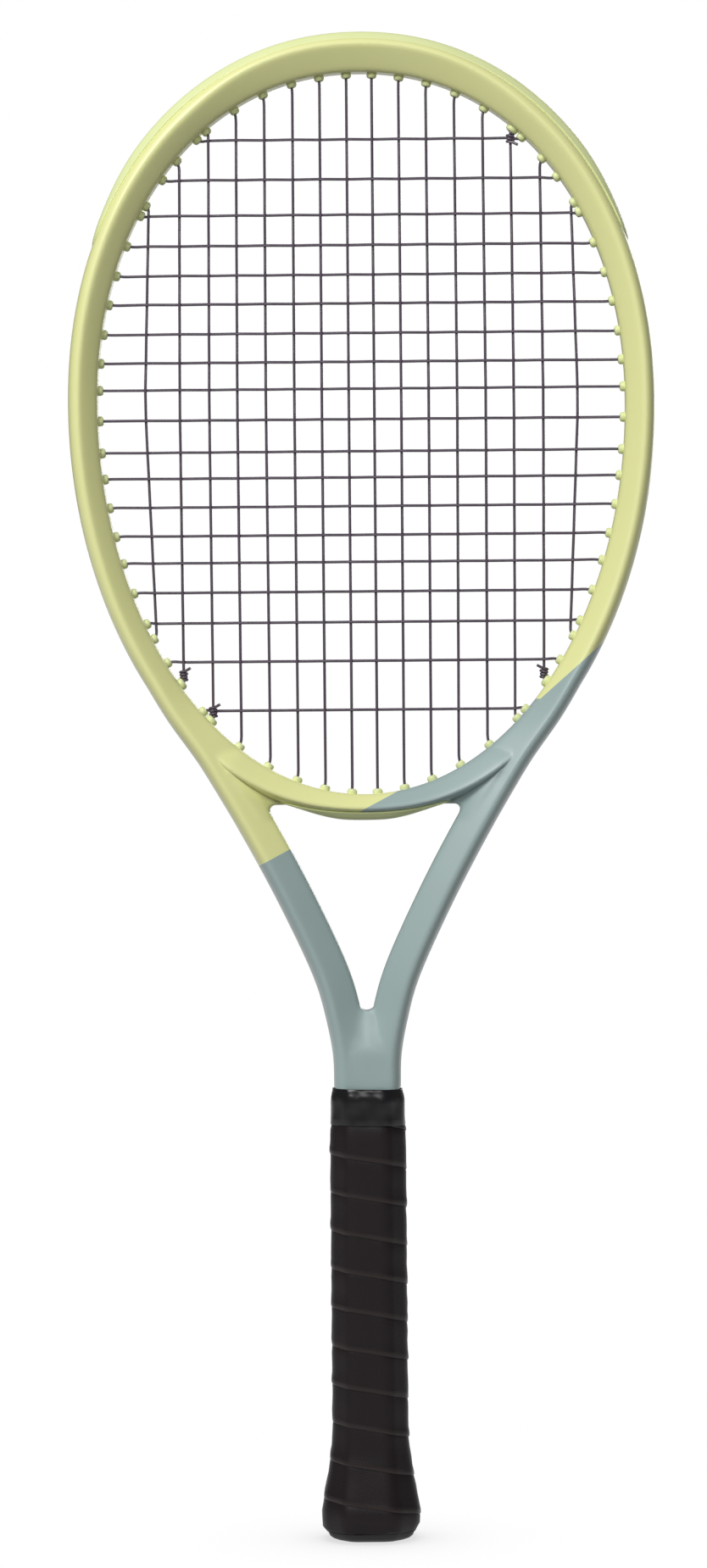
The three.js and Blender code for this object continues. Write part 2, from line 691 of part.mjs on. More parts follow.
// The holes that a loop passes, in order: those within the shorter way round the head between its two ends.
const ringAngle = (hole) => Math.atan2(hole.mouth.x, hole.mouth.z - headCentreZ);
const wrapped = (angle) => angle - 2 * Math.PI * Math.round(angle / (2 * Math.PI));
function passed(from, to) {
  const whole = wrapped(ringAngle(to) - ringAngle(from));
  const share = (hole) => wrapped(ringAngle(hole) - ringAngle(from)) / whole;
  const others = holesWhere((name, hole) => hole !== from && hole !== to && hole.inBridge === from.inBridge);
  const between = others.filter((hole) => share(hole) > 0 && share(hole) < 1);
  return between.sort((p, q) => share(p) - share(q));
}

function loopPoints(from, to, side) {
  return passed(from, to).map((hole) => turnPoint(hole, side * (hole.tied ? tiedPassOffset : passOffset)));
}

// A knot: the end leaves its barrel in front of the string that it ties to, curls up before it and
// stands out.
function knotPoints(hole) {
  const start = mouthPoint(hole, -sharedOffset);
  const [side, inward] = [Math.sign(hole.mouth.x), Math.sign(headCentreZ - hole.mouth.z)];
  const middleY = -(weaveOffset + stringDiameter + fitGap + knotRadius);
  const points = [];
  for (let i = 0; i <= knotTurns * knotSteps; i++) {
    const turn = quarter - (side * 2 * Math.PI * i) / knotSteps;
    const [x, y] = [start.x + knotRadius * Math.cos(turn), middleY + knotRadius * Math.sin(turn)];
    points.push(new THREE.Vector3(x, y, start.z + inward * (stringRadius + (knotPitch * i) / knotSteps)));
  }
  const end = points.at(-1).clone().add(new THREE.Vector3(-side * tailLength, 0, inward * fitGap));
  return [start, ...points, end];
}

const columnsOn = (side) => mainOffsets.map((offset, i) => [i, side]);
const columns = [...columnsOn("L").reverse(), ...columnsOn("R")];
const leanExponent = 0.35; // how soon a main leaves its barrel's line for its own

// Where a main crosses a height: it leans in to its barrel at either end.
function mainX([i, side], z) {
  const sign = side === "R" ? 1 : -1;
  const mouth = mouthPoint(holes[(z > headCentreZ ? "tip" : "low") + i + side], 0);
  const share = Math.abs((z - mouth.z) / (headCentreZ - mouth.z)) ** leanExponent;
  return mix(mouth.x, sign * mainOffsets[i], share);
}

function meets(column, j) {
  const z = crossHeights[j];
  const [i, side] = column;
  const room = stringDiameter;
  const crossEnd = Math.abs(mouthPoint(holes["cross" + j + side], 0).x) - room;
  const low = mouthPoint(holes["low" + i + side], 0).z + room;
  const tip = mouthPoint(holes["tip" + i + side], 0).z - room;
  return z > low && z < tip && Math.abs(mainX(column, z)) < crossEnd;
}

const weave = (c, j) => ((c + j) % 2 ? weaveOffset : -weaveOffset);
const crossing = (column, j, y) => new THREE.Vector3(mainX(column, crossHeights[j]), y, crossHeights[j]);

function mainString() {
  const mouthY = (name) => (holes[name].tied ? sharedOffset : 0);
  const points = knotPoints(holes.low6L).reverse();
  points.push(turnPoint(holes.low6L, -sharedOffset));
  let previous = "low6L";
  columns.forEach(([i, side], c) => {
    const up = c % 2 === 0;
    const [from, to] = (up ? ["low", "tip"] : ["tip", "low"]).map((end) => end + i + side);
    points.push(...loopPoints(holes[previous], holes[from], 1));
    points.push(turnPoint(holes[from], mouthY(from)), mouthPoint(holes[from], mouthY(from)));
    const met = crossHeights.map((z, j) => j).filter((j) => meets([i, side], j));
    const bed = met.map((j) => crossing([i, side], j, weave(c, j)));
    points.push(...(up ? bed : bed.reverse()));
    points.push(mouthPoint(holes[to], mouthY(to)), turnPoint(holes[to], mouthY(to)));
    previous = to;
  });
  points.push(...loopPoints(holes[previous], holes.low6R, 1), turnPoint(holes.low6R, -sharedOffset));
  points.push(...knotPoints(holes.low6R));
  return points;
}

function crossString() {
  const points = knotPoints(holes.tip5R).reverse();
  points.push(turnPoint(holes.tip5R, -sharedOffset));
  let previous = holes.tip5R;
  crossHeights.map((z, j) => j).reverse().forEach((j, row) => {
    const [near, far] = (row % 2 ? ["L", "R"] : ["R", "L"]).map((side) => holes["cross" + j + side]);
    points.push(...loopPoints(previous, near, -1), turnPoint(near, 0), mouthPoint(near, 0));
    const met = columns.map((column, c) => c).filter((c) => meets(columns[c], j));
    const bed = met.map((c) => crossing(columns[c], j, -weave(c, j)));
    points.push(...(row % 2 ? bed : bed.reverse()), mouthPoint(far, 0), turnPoint(far, 0));
    previous = far;
  });
  points.push(...loopPoints(previous, holes.low5L, -1), turnPoint(holes.low5L, -sharedOffset));
  points.push(...knotPoints(holes.low5L));
  return points;
}

// The handle's outline: an octagon with bevels at 45 degrees, grown outward by an amount.
function octagon(grow, z) {
  const [halfX, halfY] = [palletHalfX + grow, palletHalfY + grow];
  const flatHalf = palletFlatHalf + grow * Math.tan(Math.PI / 8);
  const sideHalf = halfY - (halfX - flatHalf);
  const right = [[flatHalf, -halfY], [halfX, -sideHalf], [halfX, sideHalf], [flatHalf, halfY]];
  const left = right.map(([x, y]) => [-x, y]).reverse();
  return [...right, ...left].map(([x, y]) => new THREE.Vector3(x, y, z));
}

const prism = (grow, lowZ, highZ) => loft([octagon(grow, lowZ), octagon(grow, highZ)]);

function block(halfX, halfY, lowZ, highZ, middleY = 0) {
  return new THREE.BoxGeometry(2 * halfX, 2 * halfY, highZ - lowZ).translate(0, middleY, (lowZ + highZ) / 2);
}

// Staples: two on the front and two on the back, driven through the cap's skirt into the handle shells.
const staples = [-1, 1].flatMap((face) => [-1, 1].map((side) => ({ face, x: side * stapleSpread })));

function staple({ face, x }, grow = 0) {
  const out = palletHalfY + between(capProfile, capStapleZ);
  const wire = stapleWire + 2 * grow;
  const crown = new THREE.BoxGeometry(stapleWidth + 2 * grow, wire, wire);
  crown.translate(x, face * (out - stapleWire / 2), capStapleZ);
  const legs = [-1, 1].map((end) => {
    const leg = new THREE.BoxGeometry(wire, stapleLeg + grow, wire);
    const legX = x + (end * (stapleWidth - stapleWire)) / 2;
    return leg.translate(legX, face * (out - (stapleLeg + grow) / 2), capStapleZ);
  });
  return join([crown, ...legs]);
}

const stapleRoom = () => staples.map((spot) => staple(spot, fitGap));

// The value at a height in a profile of heights and values, straight between its rows.
function between(profile, z) {
  const i = profile.findIndex(([height]) => height > z);
  if (i === 0) return profile[0][1];
  if (i < 0) return profile.at(-1)[1];
  const [[lowZ, low], [highZ, high]] = [profile[i - 1], profile[i]];
  return mix(low, high, (z - lowZ) / (highZ - lowZ));
}

// One half of the handle's shell, hollowed for the tang.
function pallet(face) {
  const tang = hairpin.slice(0, 4);
  const below = { ...tang[0], centre: tang[0].centre.clone().setZ(palletFootZ - cutOverrun) };
  const well = loft([below, ...tang.slice(1)].map((station) => sectionRing(station, fitGap)));
  const otherHalf = block(2 * palletHalfX, palletHalfY, 0, shaftTopZ, face * (fitGap / 2 - palletHalfY));
  return cut(prism(0, palletFootZ, palletTopZ), [well, mirrored(well), otherHalf, ...stapleRoom()]);
}

// Butt cap: a flared skirt over the shells' foot, with a floor across it and an opening for the door.
function buttCap() {
  const outside = loft(capProfile.map(([z, grow]) => octagon(grow, z)));
  const sheath = prism(fitGap, capFloor, capSkirtTopZ + cutOverrun);
  const doorway = block(doorHalfX, doorHalfY, 0, capFloor + cutOverrun);
  const rebateTop = doorRecess + doorThickness + fitGap;
  const rebate = block(doorHalfX + doorLip, doorHalfY + doorLip, -cutOverrun, rebateTop);
  return cut(outside, [sheath, doorway, rebate, ...stapleRoom()]);
}

// Trap door: a plate set in the cap's end, with a plug wall that grips the opening.
function trapDoor() {
  const [halfX, halfY] = [doorHalfX - fitGap, doorHalfY - fitGap];
  const inside = doorRecess + doorThickness;
  const plate = block(halfX + doorLip, halfY + doorLip, doorRecess, inside);
  const plug = block(halfX, halfY, doorRecess + doorThickness / 2, doorRecess + doorPlugHeight);
  const hollow = block(halfX - doorPlugWall, halfY - doorPlugWall, inside, inside + doorPlugHeight);
  return cut(join([plate, plug]), [hollow]);
}

// Grip: one strap wound up the handle from the cap to the tape, its ends cut level. The front of each turn
// falls towards +X.
const gripWidth = gripPitch - gripSeam;

function gripStations() {
  const corners = octagon(0, 0).reverse();
  const sides = corners.map((corner, j) => corner.distanceTo(corners[(j + 1) % corners.length]));
  const round = sides.reduce((a, b) => a + b);
  const frontShare = 1 - sides.at(-1) / 2 / round;
  const turnsBelow = frontShare + Math.ceil((gripFrontSeamZ - gripFootZ) / gripPitch);
  const start = gripFrontSeamZ - gripPitch * turnsBelow;
  const stations = [];
  let lowZ = start;
  for (let step = 0; lowZ < gripTopZ; step++) {
    if (lowZ + gripWidth > gripFootZ) stations.push({ corner: step % corners.length, lowZ });
    lowZ += (gripPitch * sides[step % corners.length]) / round;
  }
  return stations;
}

function gripEdge({ corner, lowZ }, rise, out) {
  const z = lowZ + rise;
  return octagon(between(gripBed, z) + out, z).reverse()[corner];
}

function grip() {
  const half = gripWidth / 2;
  const section = (station) => {
    const inner = [0, half, gripWidth].map((rise) => gripEdge(station, rise, 0));
    return [...inner, ...[gripWidth, half, 0].map((rise) => gripEdge(station, rise, gripThickness))];
  };
  const strap = loft(gripStations().map(section));
  const room = 2 * (palletHalfX + capRimGrow);
  const below = block(room, room, -room, gripFootZ);
  const above = block(room, room, gripTopZ, gripTopZ + room);
  const underTape = block(room, room, tapeFootZ - fitGap, gripTopZ + cutOverrun);
  const kept = prism(tapeBedGrow - fitGap, tapeFootZ - cutOverrun, gripTopZ + 2 * cutOverrun);
  return cut(strap, [below, above, cut(underTape, [kept])]);
}

// Finishing tape: a thin sleeve over the grip's upper end, drawn in to the shaft at its top.
function finishingTape() {
  const rows = [[tapeFootZ, tapeBedGrow], [gripTopZ + fitGap, tapeBedGrow], [tapeTopZ, tapeTopGrow]];
  const [foot, top] = [tapeFootZ - cutOverrun, tapeTopZ + cutOverrun];
  const inner = [[foot, tapeBedGrow], ...rows.slice(1), [top, tapeTopGrow]];
  const sleeve = loft(rows.map(([z, grow]) => octagon(grow + tapeThickness, z)));
  return cut(sleeve, [loft(inner.map(([z, grow]) => octagon(grow, z)))]);
}

// The least gap that a wound piece keeps to itself, between its turns.
function gripGap() {
  const stations = gripStations();
  const upper = stations.map((station) => gripEdge(station, gripWidth, gripThickness));
  const lower = stations.map((station) => gripEdge(station, 0, gripThickness));
  const gaps = upper.flatMap((p, i) => lower.slice(i + 2, i + 14).map((q) => p.distanceTo(q)));
  return Math.min(...gaps);
}

function knotGap(hole) {
  const axis = new THREE.CatmullRomCurve3(knotPoints(hole), false, "centripetal").getSpacedPoints(200);
  const near = 2 * Math.PI * knotRadius * 0.4;
  const step = axis[0].distanceTo(axis[1]);
  const apart = Math.ceil(near / step);
  const gaps = axis.flatMap((p, i) => axis.slice(i + apart).map((q) => p.distanceTo(q)));
  return Math.min(...gaps) - stringDiameter;
}

console.log("least gap between the grip's turns", gripGap().toFixed(2), "mm");
console.log("least gap between a knot's turns", knotGap(holes.low6R).toFixed(2), "mm");

const racket = new THREE.Group();
function add(name, geometry, material) {
  const mesh = new THREE.Mesh(geometry, material);
  mesh.name = name;
  racket.add(mesh);
  return mesh;
}
add("frame_tube", frameTube(), limePaint);
add("throat_bridge", throatBridge(), tealPaint);
add("bumper_guard", bumperGuard(), limePlastic);
add("grommet_strip_left", sideStrip("L"), limePlastic);
add("grommet_strip_right", sideStrip("R"), limePlastic);
add("grommet_strip_throat", throatStrip(), limePlastic);
add("main_string", stringTube(mainString(), stringRadius, stringSides), stringPlastic);
add("cross_string", stringTube(crossString(), stringRadius, stringSides), stringPlastic);

add("grip", grip(), gripLeather);
add("finishing_tape", finishingTape(), tapeFilm);
add("pallet_front", pallet(-1), handlePlastic);
add("pallet_back", pallet(1), handlePlastic);
add("butt_cap", buttCap(), handlePlastic);
add("trap_door", trapDoor(), handlePlastic);
staples.forEach((spot, i) => add("butt_cap_staple_" + (i + 1), staple(spot), stapleSteel));

export default racket;
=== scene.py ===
import math
from collections import namedtuple

import bmesh
import bpy
import numpy as np
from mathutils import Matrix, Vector
from mathutils.kdtree import KDTree


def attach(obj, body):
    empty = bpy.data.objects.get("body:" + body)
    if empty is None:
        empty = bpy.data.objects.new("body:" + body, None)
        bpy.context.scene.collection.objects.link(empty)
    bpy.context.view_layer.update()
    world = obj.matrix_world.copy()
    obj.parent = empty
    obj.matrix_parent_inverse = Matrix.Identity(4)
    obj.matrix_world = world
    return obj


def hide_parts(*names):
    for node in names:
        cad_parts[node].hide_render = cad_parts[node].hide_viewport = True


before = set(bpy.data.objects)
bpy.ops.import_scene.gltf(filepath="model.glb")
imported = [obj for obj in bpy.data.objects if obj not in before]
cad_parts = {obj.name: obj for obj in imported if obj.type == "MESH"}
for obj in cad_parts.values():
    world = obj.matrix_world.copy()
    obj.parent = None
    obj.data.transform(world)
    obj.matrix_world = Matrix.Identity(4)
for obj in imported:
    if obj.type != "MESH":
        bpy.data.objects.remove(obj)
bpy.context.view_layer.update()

QUARTER = math.pi / 2
MM = 0.001  # every size below is in millimetres and is turned to metres where its mesh is made


# Frame
# The hoop, both arms, the shaft and the throat bridge are one hollow carbon moulding, laid up in a mould and
# sprayed in two colours under a clear coat. Its section has a flat slope on the inside of the head, a soft
# ridge and a rounded outside with a groove for the strings.
HEAD_Z = 517.0  # height of the head's widest place
HEAD_HALF = 120.0
HEAD_RISE, HEAD_DROP = 150.3, 178.2
TIP_SQUARENESS = 2.1
HOOP_WIDTH_SIDE, HOOP_WIDTH_TIP, HOOP_WIDTH_SHOULDER = 13.6, 15.4, 13.2
HOOP_DEPTH_SIDE, HOOP_DEPTH_TIP, SHOULDER_DEPTH = 25.0, 23.0, 26.0
GROOVE_DEPTH, GROOVE_HALF = 3.2, 3.6
SHOULDER_Z = 392.0
ARM_WIDTH = 16.4
SHAFT_TOP_Z, SHAFT_HALF, SHAFT_DEPTH = 206.0, 15.2, 21.0
TANG_FOOT_Z, TANG_DROP, TANG_HALF, TANG_DEPTH = 12.0, 6.0, 12.4, 18.6
THROAT_FOOT_Z = 241.0
THROAT_OPEN_Z, NEAR_SHOULDER_Z = 300.0, 340.0  # between these heights the arm has its own section
GROOVE_FOOT_Z, GROOVE_FULL_Z = 308.0, 336.0
BRIDGE_WIDTH, BRIDGE_DEPTH, BRIDGE_SPAN = 8.8, 21.0, 58.0
BRIDGE_STEP = 1.2  # how much less deep than the shoulder the bridge is where they meet
BRIDGE_SINKS, BRIDGE_SHIFT, BRIDGE_THINNER = (54, 72), 1.2, 0.3  # where it goes under the arm, and how
WEB_BOTTOM_Z = 334.0


def ease(value, low, high):
    t = min(max((value - low) / (high - low), 0.0), 1.0)
    return t * t * (3.0 - 2.0 * t)


def mix(a, b, t):
    return a + (b - a) * t


def head_at(angle):
    """Inside point, outward normal and tube width at an angle round the head, a quarter turn at the tip."""
    c, s = math.cos(angle), math.sin(angle)
    above = s >= 0
    power = TIP_SQUARENESS if above else 2.0
    height = HEAD_RISE if above else HEAD_DROP
    x = HEAD_HALF * math.copysign(abs(c) ** (2 / power), c)
    z = height * math.copysign(abs(s) ** (2 / power), s)
    slope_x = math.copysign(abs(x / HEAD_HALF) ** (power - 1), x) / HEAD_HALF
    slope_z = math.copysign(abs(z / height) ** (power - 1), z) / height
    normal = Vector((slope_x, 0, slope_z)).normalized()
    up = z / height
    if above:
        width = mix(HOOP_WIDTH_SIDE, HOOP_WIDTH_TIP, up * up)
    else:
        width = mix(HOOP_WIDTH_SIDE, HOOP_WIDTH_SHOULDER, ease(-up, 0, (HEAD_Z - SHOULDER_Z) / HEAD_DROP))
        width = mix(width, BRIDGE_WIDTH, ease(BRIDGE_SPAN - abs(x), 0, BRIDGE_SPAN))
    return Vector((x, 0, HEAD_Z + z)), normal, width, up


def halved(low, high, below, times=40):
    """Where a test stops holding between two values, by halving the gap."""
    for _ in range(times):
        middle = (low + high) / 2
        low, high = (middle, high) if below(middle) else (low, middle)
    return low


def head_where(axis, value, low, high):
    rising = head_at(high)[0][axis] > head_at(low)[0][axis]
    return head_at(halved(low, high, lambda angle: (head_at(angle)[0][axis] < value) == rising))


# Front halves of the sections as shares of half width and half depth, from the inside edge outwards: a flat
# slope up to the ridge, then a round side. The corners are rounded afterwards, so the ridge stands past 1.
SIDE_SHARES = [(-1, -0.32), (-0.93, -0.44), (0.02, -0.95), (0.34, -1.05), (0.82, -0.82), (1, -0.38)]
TIP_SHARES = [(-1, -0.32), (-0.94, -0.42), (0.36, -0.96), (0.62, -1.04), (0.92, -0.8), (1, -0.38)]
BRIDGE_SHARES = [(-1, -0.32), (-0.92, -0.44), (0.3, -0.96), (0.56, -1.02), (0.86, -0.7), (1, -0.3)]
ARM_SHARES = [(-1, -0.53), (-0.92, -0.61), (0.26, -1.0), (0.5, -1.05), (0.84, -0.82), (1, -0.36)]
FOOT_SHARES = [(-1, -0.42), (-0.92, -0.5), (0.26, -0.98), (0.5, -1.05), (0.84, -0.82), (1, -0.36)]
SHAFT_SHARES = [(-1, -0.97), (-0.9, -0.98), (0.26, -1.02), (0.54, -1.03), (0.88, -0.78), (1, -0.4)]


def blend_shares(a, b, t):
    return [(mix(u, p, t), mix(v, q, t)) for (u, v), (p, q) in zip(a, b)]


def rounded(outline, times=2):
    """A closed outline with its corners cut again and again, which rounds them."""
    for _ in range(times):
        following = np.roll(outline, -1, axis=0)
        outline = np.stack([outline * 0.75 + following * 0.25, outline * 0.25 + following * 0.75], axis=1)
        outline = outline.reshape(-1, 2)
    return outline


def set_at(centre, normal, outline):
    """An outline of distances outward and front to back, set at a place on the tube."""
    return [Vector(centre) + Vector(normal) * u + Vector((0, v, 0)) for u, v in outline]


def level(outline, z):
    return [Vector((x, y, z)) for x, y in outline]


def rectangle(half_x, half_y):
    return [(-half_x, -half_y), (half_x, -half_y), (half_x, half_y), (-half_x, half_y)]


SLOPE_FALL = 0.7  # how far the slope falls for each millimetre that it is drawn in
THIN_EDGE = 2.4  # the least that is left of its inside edge, on each side of the middle


def tube_ring(station, reach=0.0):
    """A section; reach draws its inside edge further in and thinner, which carries the flat slope on."""
    centre, normal, half_width, half_depth, shares, groove = station
    front = [(u * half_width, v * half_depth) for u, v in shares]
    front[:2] = [(u - reach, min(v + SLOPE_FALL * reach, -THIN_EDGE) if reach else v) for u, v in front[:2]]
    floor_half = mix(half_depth * 0.3, GROOVE_HALF, groove / GROOVE_DEPTH)
    floor = (half_width - groove, -floor_half)
    rim = (half_width - groove * 0.1, -floor_half * 1.05)
    half = front + [rim, floor]
    outline = np.array(half + [(u, -v) for u, v in reversed(half)])
    return set_at(centre, normal, rounded(outline))


def loft(name, rings, closed=False):
    """A closed mesh through rings of points in millimetres, with flat ends unless it joins up."""
    count = len(rings[0])
    points = [tuple(p * MM for p in point) for ring in rings for point in ring]
    faces = []
    for i in range(len(rings) if closed else len(rings) - 1):
        here, after = i * count, ((i + 1) % len(rings)) * count
        for j in range(count):
            k = (j + 1) % count
            faces.append((here + j, here + k, after + k, after + j))
    if not closed:
        faces.append(tuple(reversed(range(count))))
        faces.append(tuple(range((len(rings) - 1) * count, len(rings) * count)))
    mesh = bpy.data.meshes.new(name)
    mesh.from_pydata(points, [], faces)
    edit = bmesh.new()
    edit.from_mesh(mesh)
    bmesh.ops.remove_doubles(edit, verts=edit.verts, dist=1e-6)
    bmesh.ops.recalc_face_normals(edit, faces=edit.faces)
    edit.to_mesh(mesh)
    edit.free()
    return new_object(name, mesh)


def new_object(name, data):
    made = bpy.data.objects.new(name, data)
    bpy.context.scene.collection.objects.link(made)
    return made


def settled(piece):
    """The piece with its modifiers worked into its mesh."""
    graph = bpy.context.evaluated_depsgraph_get()
    mesh = bpy.data.meshes.new_from_object(piece.evaluated_get(graph), depsgraph=graph)
    piece.modifiers.clear()
    piece.data = mesh
    return piece


def combined(piece, operation, others):
    """Adds the others to the piece or cuts them out of it."""
    for other in others:
        step = piece.modifiers.new(operation, "BOOLEAN")
        step.operation, step.solver, step.object = operation, "EXACT", other
        settled(piece)
        bpy.data.objects.remove(other)


def added(piece, other):
    """Puts the other's mesh beside the piece's own, in one piece."""
    both = bmesh.new()
    both.from_mesh(piece.data)
    both.from_mesh(other.data)
    both.to_mesh(piece.data)
    both.free()
    bpy.data.objects.remove(other)


def smooth(piece, degrees):
    piece.data.polygons.foreach_set("use_smooth", [True] * len(piece.data.polygons))
    piece.data.set_sharp_from_angle(angle=math.radians(degrees))
    piece.data.update()


def hoop_station(angle):
    inside, normal, width, up = head_at(angle)
    towards, share = (HOOP_DEPTH_TIP, up * up) if up > 0 else (SHOULDER_DEPTH, -up)
    depth = mix(HOOP_DEPTH_SIDE, towards, share)
    shares = blend_shares(SIDE_SHARES, TIP_SHARES, ease(up, 0.8, 1.0))
    return (inside + normal * (width / 2), normal, width / 2, depth / 2, shares, GROOVE_DEPTH)


shoulder_angle = halved(-QUARTER, 0.0, lambda angle: hoop_station(angle)[0].z < SHOULDER_Z)

# Places on the arm's centre line between the shaft and the shoulder, as shares of its rise and its spread.
ARM_PLACES = [
    (0.085, 0.004), (0.18, 0.04), (0.27, 0.095), (0.44, 0.26), (0.61, 0.452), (0.8, 0.697), (0.92, 0.892),
]
ARM_STEPS, HOOP_STEPS = 60, 140
PAST_MIDDLE = 0.4  # the right half of the shaft reaches this far past the middle, where it is cut


def through(points, z):
    """Point and direction at a height on a smooth curve through points, by centripetal knots."""
    knots = [0.0]
    for a, b in zip(points, points[1:]):
        knots.append(knots[-1] + (b - a).length ** 0.5)

    def at(t):
        above = next((k for k in range(len(knots)) if knots[k] > t), len(knots) - 1)
        i = min(max(above - 1, 1), len(points) - 3)
        p, k = points[i - 1 : i + 3], knots[i - 1 : i + 3]

        def between(a, b, ka, kb):
            return a * ((kb - t) / (kb - ka)) + b * ((t - ka) / (kb - ka))

        a1, a2, a3 = (between(p[j], p[j + 1], k[j], k[j + 1]) for j in range(3))
        return between(between(a1, a2, k[0], k[2]), between(a2, a3, k[1], k[3]), k[1], k[2])

    here, step = halved(knots[1], knots[-2], lambda t: at(t).z < z), 1e-3 * (knots[-1] - knots[0])
    return at(here), (at(here + step) - at(here - step)).normalized()


def hairpin_stations():
    """The right half of the moulding, from its foot inside the handle to a little past the tip."""
    shoulder, past = hoop_station(shoulder_angle), hoop_station(shoulder_angle + 0.12)
    half_tube = (SHAFT_HALF + PAST_MIDDLE) / 2
    foot = Vector((SHAFT_HALF - half_tube, 0, SHAFT_TOP_Z))
    rise, spread = shoulder[0].z - foot.z, shoulder[0].x - foot.x
    line = [foot - Vector((0, 0, 2 * TANG_DROP)), foot - Vector((0, 0, TANG_DROP)), foot]
    line += [Vector((foot.x + spread * out, 0, foot.z + rise * up)) for up, out in ARM_PLACES]
    line += [shoulder[0], past[0]]
    narrow = (TANG_HALF + PAST_MIDDLE) / 2
    stations = []
    for z in (TANG_FOOT_Z, SHAFT_TOP_Z - TANG_DROP):
        centre = Vector((TANG_HALF - narrow, 0, z))
        stations.append((centre, Vector((1, 0, 0)), narrow, TANG_DEPTH / 2, SHAFT_SHARES, 0.0))
    for i in range(ARM_STEPS):
        z = mix(foot.z, shoulder[0].z, i / ARM_STEPS)
        centre, along = through(line, z)
        normal = Vector((along.z, 0, -along.x)) if i else Vector((1, 0, 0))
        out = ease(z, SHAFT_TOP_Z, THROAT_FOOT_Z)
        near = ease(z, NEAR_SHOULDER_Z, SHOULDER_Z)
        width = mix(mix(2 * half_tube, ARM_WIDTH, out), 2 * shoulder[2], near)
        depth = mix(SHAFT_DEPTH, SHOULDER_DEPTH, ease(z, SHAFT_TOP_Z, WEB_BOTTOM_Z))
        open_shares = blend_shares(FOOT_SHARES, ARM_SHARES, ease(z, THROAT_FOOT_Z, THROAT_OPEN_Z))
        shares = blend_shares(blend_shares(SHAFT_SHARES, open_shares, out), SIDE_SHARES, near)
        groove = GROOVE_DEPTH * ease(z, GROOVE_FOOT_Z, GROOVE_FULL_Z)
        stations.append((centre, normal, width / 2, depth / 2, shares, groove))
    for i in range(HOOP_STEPS + 2):
        stations.append(hoop_station(mix(shoulder_angle, QUARTER, i / HOOP_STEPS)))
    return stations


SPLIT_Z, SPLIT_BLEND = 347.0, 6.0  # the arm and the bridge part below this height of the arm's middle


def slope_reach(station):
    """How far in the slope runs past the arm's own edge, down to the split, to reach the head's outline."""
    centre, normal, half_width = station[:3]

    def outside_head(reach):
        spot = centre - normal * (half_width + reach)
        across, down = spot.x / HEAD_HALF, (HEAD_Z - spot.z) / HEAD_DROP
        return across * across + down * down >= 1

    if not SPLIT_Z - SPLIT_BLEND < centre.z < SHOULDER_Z:
        return 0.0
    return halved(0.0, 30.0, outside_head, 30) * ease(centre.z, SPLIT_Z - SPLIT_BLEND, SPLIT_Z)


hairpin = hairpin_stations()
tube = loft("frame", [tube_ring(station, slope_reach(station)) for station in hairpin])


def bridge_station(angle):
    """The bridge follows the head's inside outline, and sinks under the arm's slope past the split."""
    inside, normal, width, _ = head_at(angle)
    under = ease(inside.x, *BRIDGE_SINKS)
    centre = inside + normal * (width / 2 + BRIDGE_SHIFT * under)
    depth = mix(SHOULDER_DEPTH - BRIDGE_STEP, BRIDGE_DEPTH, ease(BRIDGE_SPAN - abs(inside.x), 0, BRIDGE_SPAN))
    thinner = 1 - BRIDGE_THINNER * under
    return (centre, normal, width / 2 * thinner, depth / 2 * thinner, BRIDGE_SHARES, GROOVE_DEPTH)


def bridge_rings(low_x, high_x, steps):
    low, high = math.asin(low_x / HEAD_HALF), math.asin(high_x / HEAD_HALF)
    return [bridge_station(-QUARTER + mix(low, high, i / steps)) for i in range(steps + 1)]


bridge = loft("bridge", [tube_ring(station) for station in bridge_rings(-3, 74, 60)])

# The web in each corner carries the arm's slope on under the bridge, to a rounded corner of the opening. It
# thins towards the middle, and its edge is drawn in row by row to round it.
WEB_CORNER, WEB_CORNER_RADIUS = (40.7, 331.6), 2.6
WEB_THICK_X, WEB_THICK_Z, WEB_LEAN = 52.2, 330.0, (0.87, 0.5)
WEB_HALF_DEPTH, WEB_THINNING, WEB_FOOT_THINNING, WEB_FOOT_Z = 11.78, 0.524, 1.6, (326, 333)
WEB_EDGE = [(1.6, 1.0), (0.8, 0.94), (0.3, 0.84), (0.0, 0.68)]


def arc(centre, radius, angles):
    x, z = centre
    return [(x + radius * math.cos(math.radians(a)), z + radius * math.sin(math.radians(a))) for a in angles]


web_outline = np.array(
    [(28, 334.8), (35, 334.3)] + arc(WEB_CORNER, WEB_CORNER_RADIUS, range(90, -31, -12)) + [(42.7, 328.8)]
    + [(43.6, 326.6), (49, 326), (58, 341), (64, 350), (56, 351), (45, 346), (36, 341), (28, 338)]
)
toward = np.roll(web_outline, -1, axis=0) - np.roll(web_outline, 1, axis=0)
inward = np.stack([-toward[:, 1], toward[:, 0]], axis=1) / np.linalg.norm(toward, axis=1)[:, None]


def web_ring(inset, share):
    ring = []
    for (x, z), (dx, dz) in zip(web_outline, inward):
        x, z = x + dx * inset, z + dz * inset
        from_thickest = (WEB_THICK_X - x) * WEB_LEAN[0] + (z - WEB_THICK_Z) * WEB_LEAN[1]
        deep = WEB_HALF_DEPTH - WEB_THINNING * from_thickest - WEB_FOOT_THINNING * (1 - ease(z, *WEB_FOOT_Z))
        ring.append(Vector((x, share * deep, z)))
    return ring


web_front = [web_ring(inset, -share) for inset, share in WEB_EDGE]
web_back = [web_ring(inset, share) for inset, share in reversed(WEB_EDGE)]
web = loft("web", web_front + web_back)

